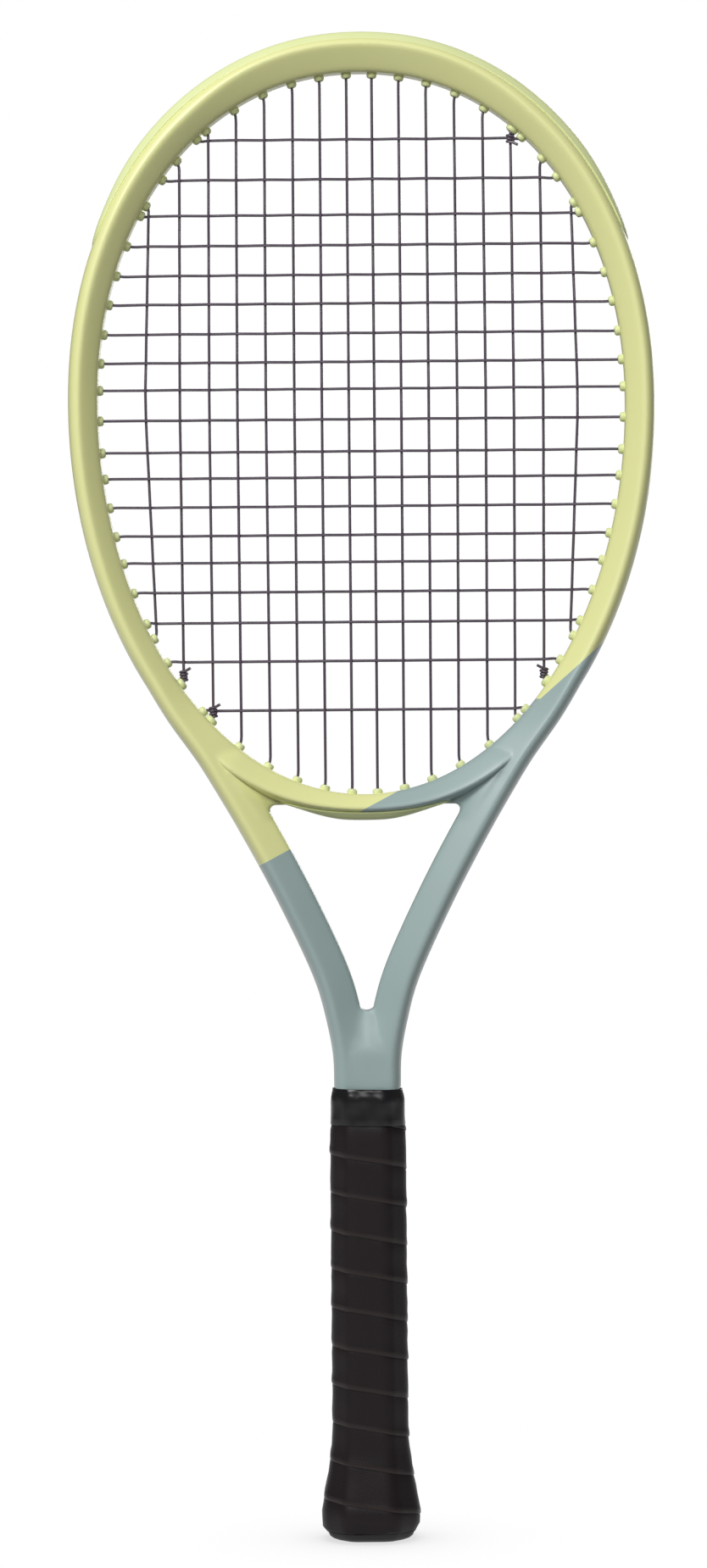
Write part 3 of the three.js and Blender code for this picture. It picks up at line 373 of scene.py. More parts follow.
# The foot of the throat: a facet that leans from the open V, with its round notch, to the shaft's flat front.
SHIELD = [(244, 4.9), (240, 5.5), (232, 7.7), (225, 9.7), (221.5, 10.3), (218, 10.5), (SHAFT_TOP_Z - 2, 10.45)]
SHIELD_HALF, NOTCH_Z, NOTCH_RADIUS = 8.5, 244.5, 4.1
shield = loft("shield", [level(rectangle(SHIELD_HALF, deep), z) for z, deep in SHIELD])
notch_arc = arc((0, NOTCH_Z), NOTCH_RADIUS, range(-165, -14, 10))
notch_outline = [(-9, 262), (-4.6, 247)] + notch_arc + [(4.6, 247), (9, 262)]
notch = loft("notch", [[Vector((x, y, z)) for x, z in notch_outline] for y in (-20, 20)])
combined(shield, "DIFFERENCE", [notch])
combined(tube, "UNION", [bridge, shield])
added(tube, web)

edit = bmesh.new()
edit.from_mesh(tube.data)
whole = edit.verts[:] + edit.edges[:] + edit.faces[:]
bmesh.ops.bisect_plane(edit, geom=whole, dist=1e-7, plane_co=(0, 0, 0), plane_no=(-1, 0, 0), clear_outer=True)
right = edit.verts[:] + edit.edges[:] + edit.faces[:]
bmesh.ops.mirror(edit, geom=right, axis="X", merge_dist=2e-6)
bmesh.ops.recalc_face_normals(edit, faces=edit.faces)
edit.to_mesh(tube.data)
edit.free()
smooth(tube, 40)


def linear(code):
    """An sRGB hex colour as the linear RGBA that Blender takes."""
    parts = [int(code[i : i + 2], 16) / 255 for i in (1, 3, 5)]
    return tuple(c / 12.92 if c <= 0.04045 else ((c + 0.055) / 1.055) ** 2.4 for c in parts) + (1.0,)


def plugged(made, **links):
    """The node with its inputs linked or set, by name or by number as in_0; a hex colour is made linear."""
    for key, value in links.items():
        socket = made.inputs[int(key[3:])] if key.startswith("in_") else made.inputs[key.replace("_", " ")]
        if isinstance(value, bpy.types.NodeSocket):
            made.id_data.links.new(value, socket)
        else:
            socket.default_value = linear(value) if str(value).startswith("#") else value
    return made


def node(tree, kind, settings=None, **links):
    """A new node with its settings and its inputs."""
    made = tree.nodes.new(kind)
    for key, value in (settings or {}).items():
        setattr(made, key, value)
    return plugged(made, **links)


RGBA = {"data_type": "RGBA"}
Finish = namedtuple("Finish", "material tree shader where pattern tone")


def finish(name, low, high, scale, detail=0.0, kind="ShaderNodeTexNoise"):
    """A material mottled between two hex colours by a pattern that follows the place on the object."""
    material = bpy.data.materials.new(name)
    material.use_nodes = True
    tree = material.node_tree
    where = node(tree, "ShaderNodeTexCoord").outputs["Object"]
    pattern = node(tree, kind, Vector=where, Scale=scale, Detail=detail).outputs[0]
    tone = node(tree, "ShaderNodeMix", RGBA, Factor=pattern, in_6=low, in_7=high).outputs[2]
    shader = plugged(tree.nodes["Principled BSDF"], Base_Color=tone)
    return Finish(material, tree, shader, where, pattern, tone)


def coated(piece, made):
    """The piece takes this finish and no other."""
    piece.data.materials.clear()
    piece.data.materials.append(made.material)


# The moulding is teal on the shaft, the arms, the right of the bridge and the foot of the hoop, and lime
# elsewhere. Each step has a name, an operation and inputs: x or z in metres, earlier steps, or numbers.
TEAL_STEPS = [
    ("left line", "MULTIPLY_ADD", "x", 0.547, 0.3309), ("under left", "LESS_THAN", "z", "left line"),
    ("bridge line", "MULTIPLY_ADD", "z", 1.894, -0.6292), ("past bridge", "GREATER_THAN", "x", "bridge line"),
    ("far right", "GREATER_THAN", "x", 0.04), ("right", "MAXIMUM", "past bridge", "far right"),
    ("outer x", "MAXIMUM", "x", 0.08), ("hoop line", "MULTIPLY_ADD", "outer x", 0.885, 0.3107),
    ("under hoop", "LESS_THAN", "z", "hoop line"), ("right side", "MULTIPLY", "right", "under hoop"),
    ("left", "LESS_THAN", "x", -0.003), ("left side", "MULTIPLY", "under left", "left"),
    ("sides", "MAXIMUM", "right side", "left side"), ("shaft", "LESS_THAN", "z", 0.27),
    ("teal", "MAXIMUM", "sides", "shaft"),
]

# Two-pack paint under clear coat, satin: an even colour with a breath of variation, and faint orange peel
# about 1.5 mm across.
paint = finish("two_colour_lacquer", "#F0F2A6", "#F3F5AE", 30.0, 2.0)
place = node(paint.tree, "ShaderNodeSeparateXYZ", Vector=paint.where)
values = {"x": place.outputs["X"], "z": place.outputs["Z"]}
for name, operation, *inputs in TEAL_STEPS:
    links = {"in_%d" % i: values.get(value, value) for i, value in enumerate(inputs)}
    values[name] = node(paint.tree, "ShaderNodeMath", {"operation": operation}, **links).outputs[0]
teal = node(paint.tree, "ShaderNodeMix", RGBA, Factor=paint.pattern, in_6="#9FB4B2", in_7="#A4B9B7")
colour = node(paint.tree, "ShaderNodeMix", RGBA, Factor=values["teal"], in_6=paint.tone, in_7=teal.outputs[2])
peel = node(paint.tree, "ShaderNodeTexNoise", Vector=paint.where, Scale=650.0, Detail=1.0)
fillet = node(paint.tree, "ShaderNodeBevel", {"samples": 8}, Radius=3.6 * MM)
skin = node(paint.tree, "ShaderNodeBump", Height=peel.outputs["Fac"], Strength=0.012, Distance=0.1 * MM,
            Normal=fillet.outputs[0])
plugged(paint.shader, Base_Color=colour.outputs[2], Normal=skin.outputs[0], Roughness=0.45, Coat_Weight=0.6,
        Coat_Roughness=0.3)
coated(tube, paint)
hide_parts("frame_tube", "throat_bridge")
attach(tube, "racket")


# String holes
# Each string end passes through its own hole, drilled through the moulding after it is sprayed; where a knot
# ties off, two strings share a hole. Only the places are worked out here, for the plastic and the strings.
MAINS = [5.8, 18.1, 30.6, 43.6, 56.6, 69.4, 82.8, 98.6]
OUTER_TIP, OUTER_LOW = 97.0, 95.0
CROSSES = [
    377.3, 399.6, 417.3, 431.2, 444.7, 457, 470.1, 483.2, 495.1, 509.7, 523.6, 535.9, 549, 562.5, 575.6, 589.1,
    602.9, 619.1, 637.2,
]
BRIDGE_MAINS = 3
BEAD_MIDDLE = 1.1  # how far inside the head a bead has its middle


def hole_spot(axis, value, low, high):
    """The hole whose bead, a little inside the head, has its middle at a given x or height."""
    rough = head_where(axis, value, low, high)
    return head_where(axis, value + rough[1][axis] * BEAD_MIDDLE, low, high)


def groove_reach(start, direction):
    """How far the groove's floor is from a place inside the head."""
    floors = [s[0] + s[1] * (s[2] - s[5]) for s in hairpin]
    for a, b in zip(floors, floors[1:]):
        along, offset = b - a, a - start
        turn = direction.x * along.z - direction.z * along.x
        if abs(turn) < 1e-9:
            continue
        reach = (offset.x * along.z - offset.z * along.x) / turn
        share = (offset.x * direction.z - offset.z * direction.x) / turn
        if reach > 0 and -0.01 <= share <= 1.01:
            return reach
    raise ValueError("no groove floor on this line")


Hole = namedtuple("Hole", "mouth direction reach in_bridge tied")
holes = {}


def add_holes(row, number, spot, direction, in_bridge=False, tied=""):
    """A hole on each side; tied names the sides where a knot shares it."""
    inside, _, width, _ = spot
    reach = width - GROOVE_DEPTH if in_bridge else groove_reach(inside, direction)
    for side, sign in (("R", 1), ("L", -1)):
        mouth, along = (Vector((v.x * sign, 0, v.z)) for v in (inside, direction))
        holes[row, number, side] = Hole(mouth, along, reach, in_bridge, side in tied)


for i, offset in enumerate(MAINS):
    outermost = i == len(MAINS) - 1
    tip = hole_spot(0, OUTER_TIP if outermost else offset, QUARTER, 0)
    low = hole_spot(0, OUTER_LOW if outermost else offset, -QUARTER, 0)
    leaning = hole_spot(0, MAINS[i + 1], -QUARTER, 0)[1] if i == BRIDGE_MAINS else low[1]
    add_holes("tip", i, tip, tip[1], tied="R" if i == 5 else "")
    add_holes("low", i, low, leaning, i < BRIDGE_MAINS, {5: "L", 6: "LR"}.get(i, ""))
for j, height in enumerate(CROSSES):
    above = height > HEAD_Z
    spot = hole_spot(2, height, 0 if above else -QUARTER, QUARTER if above else 0)
    add_holes("cross", j, spot, spot[1])


# Head guard and grommet strips
# Nylon strips moulded in one with a hollow barrel for each string end. The barrels are pushed through the
# frame from the outside until their beaded tips stand out inside the head; the strings hold them in.
STRIP_THICK, STRIP_HALF, CHANNEL_HALF = 0.9, 3.0, 2.6
GUARD_END_Z, STRIP_FOOT_Z, THROAT_STRIP_SPAN = 587.0, 320.0, 35.0
GUARD_CREST, GUARD_CREST_END, THROAT_CREST = 3.1, 1.2, 3.2
GUARD_WING, GUARD_REACH, THROAT_REACH = 1.4, 8.4, 7.5
FIT, SEAT = 0.3, -0.12


def station_at(z):
    """The right half's section at a height."""
    i = next(k for k, s in enumerate(hairpin) if s[0].z > z)
    a, b = hairpin[i - 1], hairpin[i]
    t = (z - a[0].z) / (b[0].z - a[0].z)
    half_width, half_depth, groove = (mix(a[k], b[k], t) for k in (2, 3, 5))
    shares = blend_shares(a[4], b[4], t)
    return (a[0].lerp(b[0], t), a[1].lerp(b[1], t).normalized(), half_width, half_depth, shares, groove)


def flipped(station):
    centre, normal = (Vector((-v.x, v.y, v.z)) for v in station[:2])
    return (centre, normal) + station[2:]


def stretch(low_z, high_z=None):
    """The right half's sections from a height up, to another or to the tip."""
    top = high_z - FIT if high_z else math.inf
    inside = [s for s in hairpin if low_z + FIT < s[0].z < top and s[0].x > 0.01]
    return [station_at(low_z)] + inside + ([station_at(high_z)] if high_z else [])


def strip_ring(station):
    low = station[2] - station[5] + FIT
    high = low + STRIP_THICK
    outline = np.array([(low, -STRIP_HALF), (high, -STRIP_HALF), (high, STRIP_HALF), (low, STRIP_HALF)])
    return set_at(station[0], station[1], rounded(np.repeat(outline, 2, axis=0), 1))


def guard_ring(station, crest_at, reach):
    """A section of the guard: wings on the moulding, a crest on each side of the strings' channel."""
    half_width, half_depth, crest = station[2], station[3], crest_at(station[0])
    floor, rim, rim_v = half_width - station[5] + FIT, half_width + SEAT, half_depth * 0.42
    down = (reach - rim_v) / (half_depth * 0.82 - rim_v)
    shoulder = half_width * mix(1, 0.74, down) + SEAT
    half = [
        (floor, STRIP_HALF), (rim - 0.4, rim_v * 0.86), (rim, rim_v), (shoulder, reach),
        (shoulder + GUARD_WING * 0.5, reach + 0.7), (shoulder + GUARD_WING, reach + 0.1),
        (rim + crest * 0.8, rim_v + 1.4), (rim + crest, rim_v * 0.82), (rim + crest - 0.5, CHANNEL_HALF + 0.5),
        (floor + STRIP_THICK + 0.6, CHANNEL_HALF), (floor + STRIP_THICK, CHANNEL_HALF - 0.5),
    ]
    return set_at(station[0], station[1], rounded(np.array(half + [(u, -v) for u, v in reversed(half)])))


def capped_taper(rings, spread):
    """The rings with each end drawn in over its last few, so that a strip ends in a rounded tongue."""
    done = []
    for i, ring in enumerate(rings):
        t = min(i, len(rings) - 1 - i) / spread
        keep = 1.0 if t >= 1 else math.sqrt(max(1 - (1 - t) ** 2, 0.06))
        mid, across = sum(ring, Vector()) / len(ring), mix(keep, 1, 0.5)
        done.append([Vector((mix(mid.x, p.x, across), p.y * keep, mix(mid.z, p.z, across))) for p in ring])
    return done


def head_crest(centre):
    return mix(GUARD_CREST_END, GUARD_CREST, ease(centre.z, GUARD_END_Z, mix(GUARD_END_Z, 675, 0.5)))


def throat_crest(centre):
    from_end = THROAT_STRIP_SPAN - abs(centre.x)
    return mix(GUARD_CREST_END * 0.4, THROAT_CREST, ease(from_end, 0, THROAT_STRIP_SPAN * 0.8))


right_head = stretch(GUARD_END_Z + FIT)
tip_station = hoop_station(QUARTER)
head_row = right_head + [tip_station] + [flipped(s) for s in reversed(right_head)]
throat_row = bridge_rings(-THROAT_STRIP_SPAN, THROAT_STRIP_SPAN, 60)
side_row = stretch(STRIP_FOOT_Z, GUARD_END_Z)


def exit_z(hole):
    return hole.mouth.z + hole.direction.z * hole.reach


def side_strip(sign):
    """The rings of one side's strip, and its holes."""
    rings = [strip_ring(s if sign > 0 else flipped(s)) for s in side_row]
    below_guard = [h for h in holes.values() if not h.in_bridge and exit_z(h) < GUARD_END_Z]
    return rings, [h for h in below_guard if h.mouth.x * sign > 0]


strips = [
    ("head_guard", "bumper_guard", [guard_ring(s, head_crest, GUARD_REACH) for s in head_row],
     [h for h in holes.values() if exit_z(h) > GUARD_END_Z]),
    ("grommet_strip_right_moulded", "grommet_strip_right", *side_strip(1)),
    ("grommet_strip_left_moulded", "grommet_strip_left", *side_strip(-1)),
    ("throat_strip_moulded", "grommet_strip_throat",
     [guard_ring(s, throat_crest, THROAT_REACH) for s in throat_row],
     [h for h in holes.values() if h.in_bridge]),
]

# Radius and distance out from the head's inside, down the bead's outside and back up its bore.
BEAD = [
    (2.05, 3.0), (2.1, 0.6), (2.28, -0.5), (2.3, -1.1), (2.12, -1.75), (1.7, -2.2), (1.25, -2.35), (0.86, -2.2),
    (0.78, -1.6),
]
BEAD_SIDES = 18
round_bead = [math.tau * k / BEAD_SIDES for k in range(BEAD_SIDES)]
bead = loft("bead", [[(r * math.cos(a), r * math.sin(a), -out) for a in round_bead] for r, out in BEAD])

# Nylon 66, injection moulded: pale lime, a satin skin from the mould with fine specks.
nylon = finish("moulded_nylon", "#E6EEAC", "#EBF2B6", 60.0, 3.0)
speck = node(nylon.tree, "ShaderNodeTexNoise", Vector=nylon.where, Scale=2500.0, Detail=2.0)
skin = node(nylon.tree, "ShaderNodeBump", Height=speck.outputs["Fac"], Strength=0.02, Distance=0.05 * MM)
plugged(nylon.shader, Normal=skin.outputs[0], Roughness=0.42)


def nodes_group(name, **sockets):
    """A Geometry Nodes tree with its named inputs, its input node and its output node."""
    group = bpy.data.node_groups.new(name, "GeometryNodeTree")
    for label, kind in {"Geometry": "NodeSocketGeometry", **sockets}.items():
        group.interface.new_socket(label, in_out="INPUT", socket_type=kind)
    group.interface.new_socket("Geometry", in_out="OUTPUT", socket_type="NodeSocketGeometry")
    return group, group.nodes.new("NodeGroupInput"), group.nodes.new("NodeGroupOutput")


def grown(piece, group, values):
    """The piece after a Geometry Nodes tree, as a plain mesh."""
    modifier = piece.modifiers.new(group.name, "NODES")
    modifier.node_group = group
    for item in group.interface.items_tree:
        if item.in_out == "INPUT" and item.name in values:
            modifier[item.identifier] = values[item.name]
    return settled(piece)


beads_tree, ins, out = nodes_group("beads_on_holes", Bead="NodeSocketObject", Material="NodeSocketMaterial")
facing = node(beads_tree, "GeometryNodeInputNamedAttribute", {"data_type": "FLOAT_VECTOR"}, Name="inward")
size = node(beads_tree, "GeometryNodeInputNamedAttribute", {"data_type": "FLOAT"}, Name="size")
shape = node(beads_tree, "GeometryNodeObjectInfo", Object=ins.outputs["Bead"])
turn = node(beads_tree, "FunctionNodeAlignRotationToVector", {"axis": "Z"}, Vector=facing.outputs["Attribute"])
wide = node(beads_tree, "ShaderNodeCombineXYZ", X=size.outputs["Attribute"], Y=size.outputs["Attribute"], Z=1.0)
copies = node(beads_tree, "GeometryNodeInstanceOnPoints", Points=ins.outputs["Geometry"],
              Instance=shape.outputs["Geometry"], Rotation=turn.outputs[0], Scale=wide.outputs[0])
whole = node(beads_tree, "GeometryNodeRealizeInstances", Geometry=copies.outputs[0])
dressed = node(beads_tree, "GeometryNodeSetMaterial", Geometry=whole.outputs[0],
               Material=ins.outputs["Material"])
beads_tree.links.new(dressed.outputs[0], out.inputs[0])

SIZE_TIED = 1.25  # the beads of shared holes are this much wider
for name, stands_for, rings, own in strips:
    strip = loft(name, capped_taper(rings, 5))
    spots = bpy.data.meshes.new(name + "_spots")
    spots.from_pydata([tuple(h.mouth * MM) for h in own], [], [])
    inward = spots.attributes.new("inward", "FLOAT_VECTOR", "POINT")
    inward.data.foreach_set("vector", [c for h in own for c in -h.direction])
    sizes = spots.attributes.new("size", "FLOAT", "POINT")
    sizes.data.foreach_set("value", [SIZE_TIED if h.tied else 1.0 for h in own])
    beads = grown(new_object(name + "_beads", spots), beads_tree, {"Bead": bead, "Material": nylon.material})
    coated(strip, nylon)
    added(strip, beads)
    smooth(strip, 62)
    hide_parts(stands_for)
    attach(strip, "racket")
bpy.data.objects.remove(bead)


# Strings
# Two lengths of 1.3 mm co-polyester string, drawn as a smooth thread: one for the mains, one for the crosses,
# woven over and under, pulled tight and tied off with half hitches round the string beside the last hole.
STRING = 1.3
WEAVE = 0.7
SHARED, PASS_OFFSET, TIED_PASS = 0.85, 1.5, 2.4
KNOT_TURNS, KNOT_PITCH, KNOT_STEPS = 3, 1.35, 10
BEND, MOUTH = 3.5, 2.0


def mouth_point(hole, y):
    spot = hole.mouth - hole.direction * MOUTH
    return Vector((spot.x, y, spot.z))


def turn_point(hole, y, back=0):
    spot = hole.mouth + hole.direction * (hole.reach + FIT + STRIP_THICK + 0.25 + STRING / 2 - back)
    return Vector((spot.x, y, spot.z))


def ring_angle(hole):
    return math.atan2(hole.mouth.x, hole.mouth.z - HEAD_Z)


def loop_points(start, end, side):
    """A loop outside the hoop, aside from each hole that it passes."""
    def from_start(hole):
        return math.remainder(ring_angle(hole) - ring_angle(start), math.tau)

    def share(hole):
        return from_start(hole) / from_start(end)

    same_row = [h for h in holes.values() if h.in_bridge == start.in_bridge and h is not start and h is not end]
    between = [h for h in same_row if 0 < share(h) < 1]
    return [turn_point(h, side * (TIED_PASS if h.tied else PASS_OFFSET)) for h in sorted(between, key=share)]


def knot_points(hole, sense):
    """Half hitches round the string that shares the hole, and a short tail."""
    start = mouth_point(hole, -SHARED)
    inward = math.copysign(1, HEAD_Z - hole.mouth.z)
    axis = mouth_point(hole, SHARED * 0.2)
    points = [start]
    for i in range(KNOT_TURNS * KNOT_STEPS + 1):
        angle = -QUARTER + sense * math.tau * i / KNOT_STEPS
        radius = STRING * (1.02 + 0.25 * math.sin(i * 2.4) ** 2)
        rise = inward * (0.9 + KNOT_PITCH * i / KNOT_STEPS)
        points.append(axis + Vector((radius * math.cos(angle), radius * math.sin(angle), rise)))
    tail = points[-1]
    points.append(tail + Vector((sense * 1.2, -0.5, inward * 0.4)))
    points.append(tail + Vector((sense * 3.2, -1.3, inward * 1.5)))
    return points


columns = [(i, "L") for i in reversed(range(len(MAINS)))] + [(i, "R") for i in range(len(MAINS))]


def main_x(column, z):
    i, side = column
    mouth = mouth_point(holes["tip" if z > HEAD_Z else "low", i, side], 0)
    share = min(abs((z - mouth.z) / (HEAD_Z - mouth.z)), 1.0)
    return mix(mouth.x, MAINS[i] * (1 if side == "R" else -1), share)


def meets(column, j):
    i, side = column
    z = CROSSES[j]
    end = abs(mouth_point(holes["cross", j, side], 0).x) - STRING
    low = mouth_point(holes["low", i, side], 0).z + STRING
    tip = mouth_point(holes["tip", i, side], 0).z - STRING
    return low < z < tip and abs(main_x(column, z)) < end


def way_through(hole, y, inward):
    """The string's way through a barrel, with a tight turn where it comes out on the outside."""
    way = [turn_point(hole, y, back) for back in (0, 0.5, 1.6)] + [mouth_point(hole, y)]
    return way if inward else way[::-1]


def crossing(c, j, side):
    over = WEAVE if (c + j) % 2 else -WEAVE
    return Vector((main_x(columns[c], CROSSES[j]), side * over, CROSSES[j]))


def main_run(c):
    """A main's two holes, and its crossings between them in the order that the string passes them."""
    i, side = columns[c]
    start, end = (holes[row, i, side] for row in (("tip", "low") if c % 2 else ("low", "tip")))
    bed = [crossing(c, j, 1) for j in range(len(CROSSES)) if meets(columns[c], j)]
    return start, end, bed[::-1] if c % 2 else bed


def cross_run(row):
    j = len(CROSSES) - 1 - row
    start, end = (holes["cross", j, side] for side in ("LR" if row % 2 else "RL"))
    bed = [crossing(c, j, -1) for c in range(len(columns)) if meets(columns[c], j)]
    return start, end, bed if row % 2 else bed[::-1]


def strung(first, runs, last, side, sense):
    """A string's whole way: its first knot, its runs with the loops between, and its last knot."""
    points = knot_points(first, 1)[::-1] + way_through(first, -SHARED, False)
    previous = first
    for start, end, bed in runs:
        points += loop_points(previous, start, side) + way_through(start, SHARED if start.tied else 0, True)
        points += bed + way_through(end, SHARED if end.tied else 0, False)
        previous = end
    points += loop_points(previous, last, side) + way_through(last, -SHARED, True)
    return points + knot_points(last, sense)[1:]


main_runs, cross_runs = map(main_run, range(len(columns))), map(cross_run, range(len(CROSSES)))
main_points = strung(holes["low", 6, "L"], main_runs, holes["low", 6, "R"], 1, -1)
cross_points = strung(holes["tip", 5, "R"], cross_runs, holes["low", 5, "L"], -1, 1)

# Co-polyester, extruded: dark plum grey, a smooth thread with a narrow highlight and fine drawing lines.
thread = finish("extruded_copolyester", "#4B404E", "#5A4D5D", 220.0, 2.0)
plugged(thread.shader, Roughness=0.26, IOR=1.57)

# The run of a string becomes a smooth thread with ten sides.
thread_tree, ins, out = nodes_group("thread_on_path", Radius="NodeSocketFloat", Material="NodeSocketMaterial")
path = node(thread_tree, "GeometryNodeMeshToCurve", Mesh=ins.outputs["Geometry"])
section = node(thread_tree, "GeometryNodeCurvePrimitiveCircle", Resolution=10, Radius=ins.outputs["Radius"])
tubed = node(thread_tree, "GeometryNodeCurveToMesh", Curve=path.outputs[0], Profile_Curve=section.outputs[0],
             Fill_Caps=True)
soft = node(thread_tree, "GeometryNodeSetShadeSmooth", Geometry=tubed.outputs[0])
whole = node(thread_tree, "GeometryNodeRealizeInstances", Geometry=soft.outputs[0])
dressed = node(thread_tree, "GeometryNodeSetMaterial", Geometry=whole.outputs[0],
               Material=ins.outputs["Material"])
thread_tree.links.new(dressed.outputs[0], out.inputs[0])


def eased(points):
    """The run with each corner bent round, as a tight string turns."""
    bent = [points[0]]
    for before, here, after in zip(points, points[1:], points[2:]):
        reach = min(0.42 * (here - before).length, 0.42 * (after - here).length, BEND)
        start, end = here + (before - here).normalized() * reach, here + (after - here).normalized() * reach
        for t in (0, 0.25, 0.5, 0.75, 1):
            bent.append(start * (1 - t) ** 2 + here * 2 * t * (1 - t) + end * t * t)
    return bent + [points[-1]]


def string_piece(name, points, stands_for):
    points = eased(points)
    run = bpy.data.meshes.new(name)
    run.from_pydata([tuple(p * MM) for p in points], [(i, i + 1) for i in range(len(points) - 1)], [])
    piece = grown(new_object(name, run), thread_tree, {"Radius": STRING / 2 * MM, "Material": thread.material})
    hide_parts(stands_for)
    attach(piece, "racket")


string_piece("main_string_drawn", main_points, "main_string")
string_piece("cross_string_drawn", cross_points, "cross_string")


# Handle shells
# Two polyurethane foam half shells moulded round the shaft; they give the handle its eight sides. The strap
# covers them all the way, so the solids stay, with the foam's skin.
foam = finish("moulded_polyurethane_foam", "#2A2A2C", "#353538", 1200.0, kind="ShaderNodeTexVoronoi")
pits = node(foam.tree, "ShaderNodeBump", Height=foam.pattern, Strength=0.2, Distance=0.2 * MM)
plugged(foam.shader, Normal=pits.outputs[0], Roughness=0.75)
for name in ("pallet_front", "pallet_back"):
    coated(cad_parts[name], foam)


# Butt cap, trap door and staples
# A glass-filled nylon cap pushed over the shells' foot and stapled through its skirt; a small door closes the
# end. Only the rounded lip under the strap and the door show.
PALLET_X, PALLET_Y, PALLET_FLAT = 15.1, 12.9, 8.3
CAP_ROWS = [
    (0.0, -1.6), (0.25, 0.2), (1.1, 2.4), (2.2, 3.8), (3.6, 4.4), (8.5, 4.6), (12, 4.7), (16, 4.2), (20, 3.4),
    (25, 2.4), (30, 1.4),
]
CAP_FLOOR_Z = 4.4
DOOR_X, DOOR_Y, DOOR_LIP, DOOR_RECESS, DOOR_THICK, DOOR_PLUG, DOOR_WALL = 9.0, 6.6, 1.6, 0.8, 1.6, 9.0, 1.4


def octagon(grow, times=3):
    """The handle's outline grown outward, its corners rounded."""
    half_x, half_y = PALLET_X + grow, PALLET_Y + grow
    flat = PALLET_FLAT + grow * math.tan(math.pi / 8)
    side = half_y - (half_x - flat)
    right = [(flat, -half_y), (half_x, -side), (half_x, side), (flat, half_y)]
    corners = np.array(right + [(-x, y) for x, y in reversed(right)])
    middles = (corners + np.roll(corners, -1, axis=0)) / 2
    doubled = np.stack([corners, middles], axis=1).reshape(-1, 2)
    return rounded(doubled, times)


def box_piece(name, half_x, half_y, low, high, corner):
    box = loft(name, [level(rectangle(half_x, half_y), low), level(rectangle(half_x, half_y), high)])
    soften = box.modifiers.new("rounded edges", "BEVEL")
    soften.width, soften.segments, soften.limit_method = corner * MM, 3, "ANGLE"
    return settled(box)


cap = loft("butt_cap_moulded", [level(octagon(grow), z) for z, grow in CAP_ROWS])
combined(cap, "DIFFERENCE", [
    loft("sheath", [level(octagon(FIT), CAP_FLOOR_Z), level(octagon(FIT), CAP_ROWS[-1][0] + 1)]),
    box_piece("doorway", DOOR_X, DOOR_Y, -1, 6, 1.0),
    box_piece("rebate", DOOR_X + DOOR_LIP, DOOR_Y + DOOR_LIP, -2, DOOR_RECESS + DOOR_THICK + FIT, 1.2),
])
smooth(cap, 32)

leaf_x, leaf_y, leaf_top = DOOR_X + DOOR_LIP - FIT, DOOR_Y + DOOR_LIP - FIT, DOOR_RECESS + DOOR_THICK
door = box_piece("trap_door_moulded", leaf_x, leaf_y, DOOR_RECESS, leaf_top, 0.5)
plug = box_piece("plug", DOOR_X - FIT, DOOR_Y - FIT, 1.6, DOOR_RECESS + DOOR_PLUG, 0.6)
combined(door, "UNION", [plug])
combined(door, "DIFFERENCE", [
    box_piece("plug_hollow", DOOR_X - FIT - DOOR_WALL, DOOR_Y - FIT - DOOR_WALL, leaf_top, 12, 0.5),
    box_piece("finger_notch", 3.2, 0.9, -1, DOOR_RECESS + 0.7, 0.4),
])
smooth(door, 32)

# Glass-filled nylon, injection moulded: near black, matt, with the fine spark-eroded grain of the mould.
capping = finish("glass_filled_nylon", "#101011", "#171618", 1800.0, 3.0)
skin = node(capping.tree, "ShaderNodeBump", Height=capping.pattern, Strength=0.2, Distance=0.08 * MM)
plugged(capping.shader, Normal=skin.outputs[0], Roughness=0.55)
for piece, stands_for, body in ((cap, "butt_cap", "racket"), (door, "trap_door", "door")):
    coated(piece, capping)
    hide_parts(stands_for)
    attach(piece, body)

# Galvanised steel wire, bent and driven: bright grey with fine drawing lines along it.
wire = finish("galvanised_steel_wire", "#A9ABAD", "#C2C4C6", 3000.0, 2.0)
plugged(wire.shader, Metallic=1.0, Roughness=0.35)
for i in range(1, 5):
    coated(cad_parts["butt_cap_staple_%d" % i], wire)


# Grip
# A replacement strap of embossed synthetic leather on a foam back, wound up from the cap with each turn lapped
# a little over the one below. The laps stand out as slanting steps that fall towards +X on the front.
GRIP_PITCH, GRIP_FRONT_SEAM_Z, GRIP_FOOT_Z, GRIP_TOP_Z = 17.4, 33.3, 4.3, 200.6
GRIP_LIP, GRIP_LIP_IN = 3.0, 1.6  # the strap's foot is drawn in over this height, by this much
GRIP_START, GRIP_END = 18.2, 0.6  # how far under the foot and the top its lower edge begins and ends
GRIP_BED = [
    (0, 3.4), (6, 5.1), (12, 5.4), (20, 4.3), (27, 2.9), (34, 1.8), (42, 0.8), (50, 0.25), (186, 0.25),
    (190, -0.9), (210, -0.9),
]
bed_z, bed_grow = zip(*GRIP_BED)

# The handle's outline, how its places move as it grows by 1 mm, and how far round it each one is.
WINDING = 96  # sections of the strap to a turn
base, step_out = octagon(0.0)[::-1], octagon(1.0)[::-1] - octagon(0.0)[::-1]
closed_base, closed_step = (np.vstack([ring, ring[:1]]) for ring in (base, step_out))
along_outline = np.concatenate([[0], np.cumsum(np.linalg.norm(np.diff(closed_base, axis=0), axis=1))])


def on_outline(turn, grow):
    """The place at a share of a turn, clockwise from above, starting at the middle of the front."""
    length = (turn * along_outline[-1] + front_start) % along_outline[-1]
    x, y = (np.interp(length, along_outline, closed_base[:, a]) for a in (0, 1))
    dx, dy = (np.interp(length, along_outline, closed_step[:, a]) for a in (0, 1))
    return x + dx * grow, y + dy * grow


front = min(range(len(base)), key=lambda k: abs(base[k][0]) + (0 if base[k][1] < 0 else 99))
front_start = along_outline[front] + abs(base[front][0])

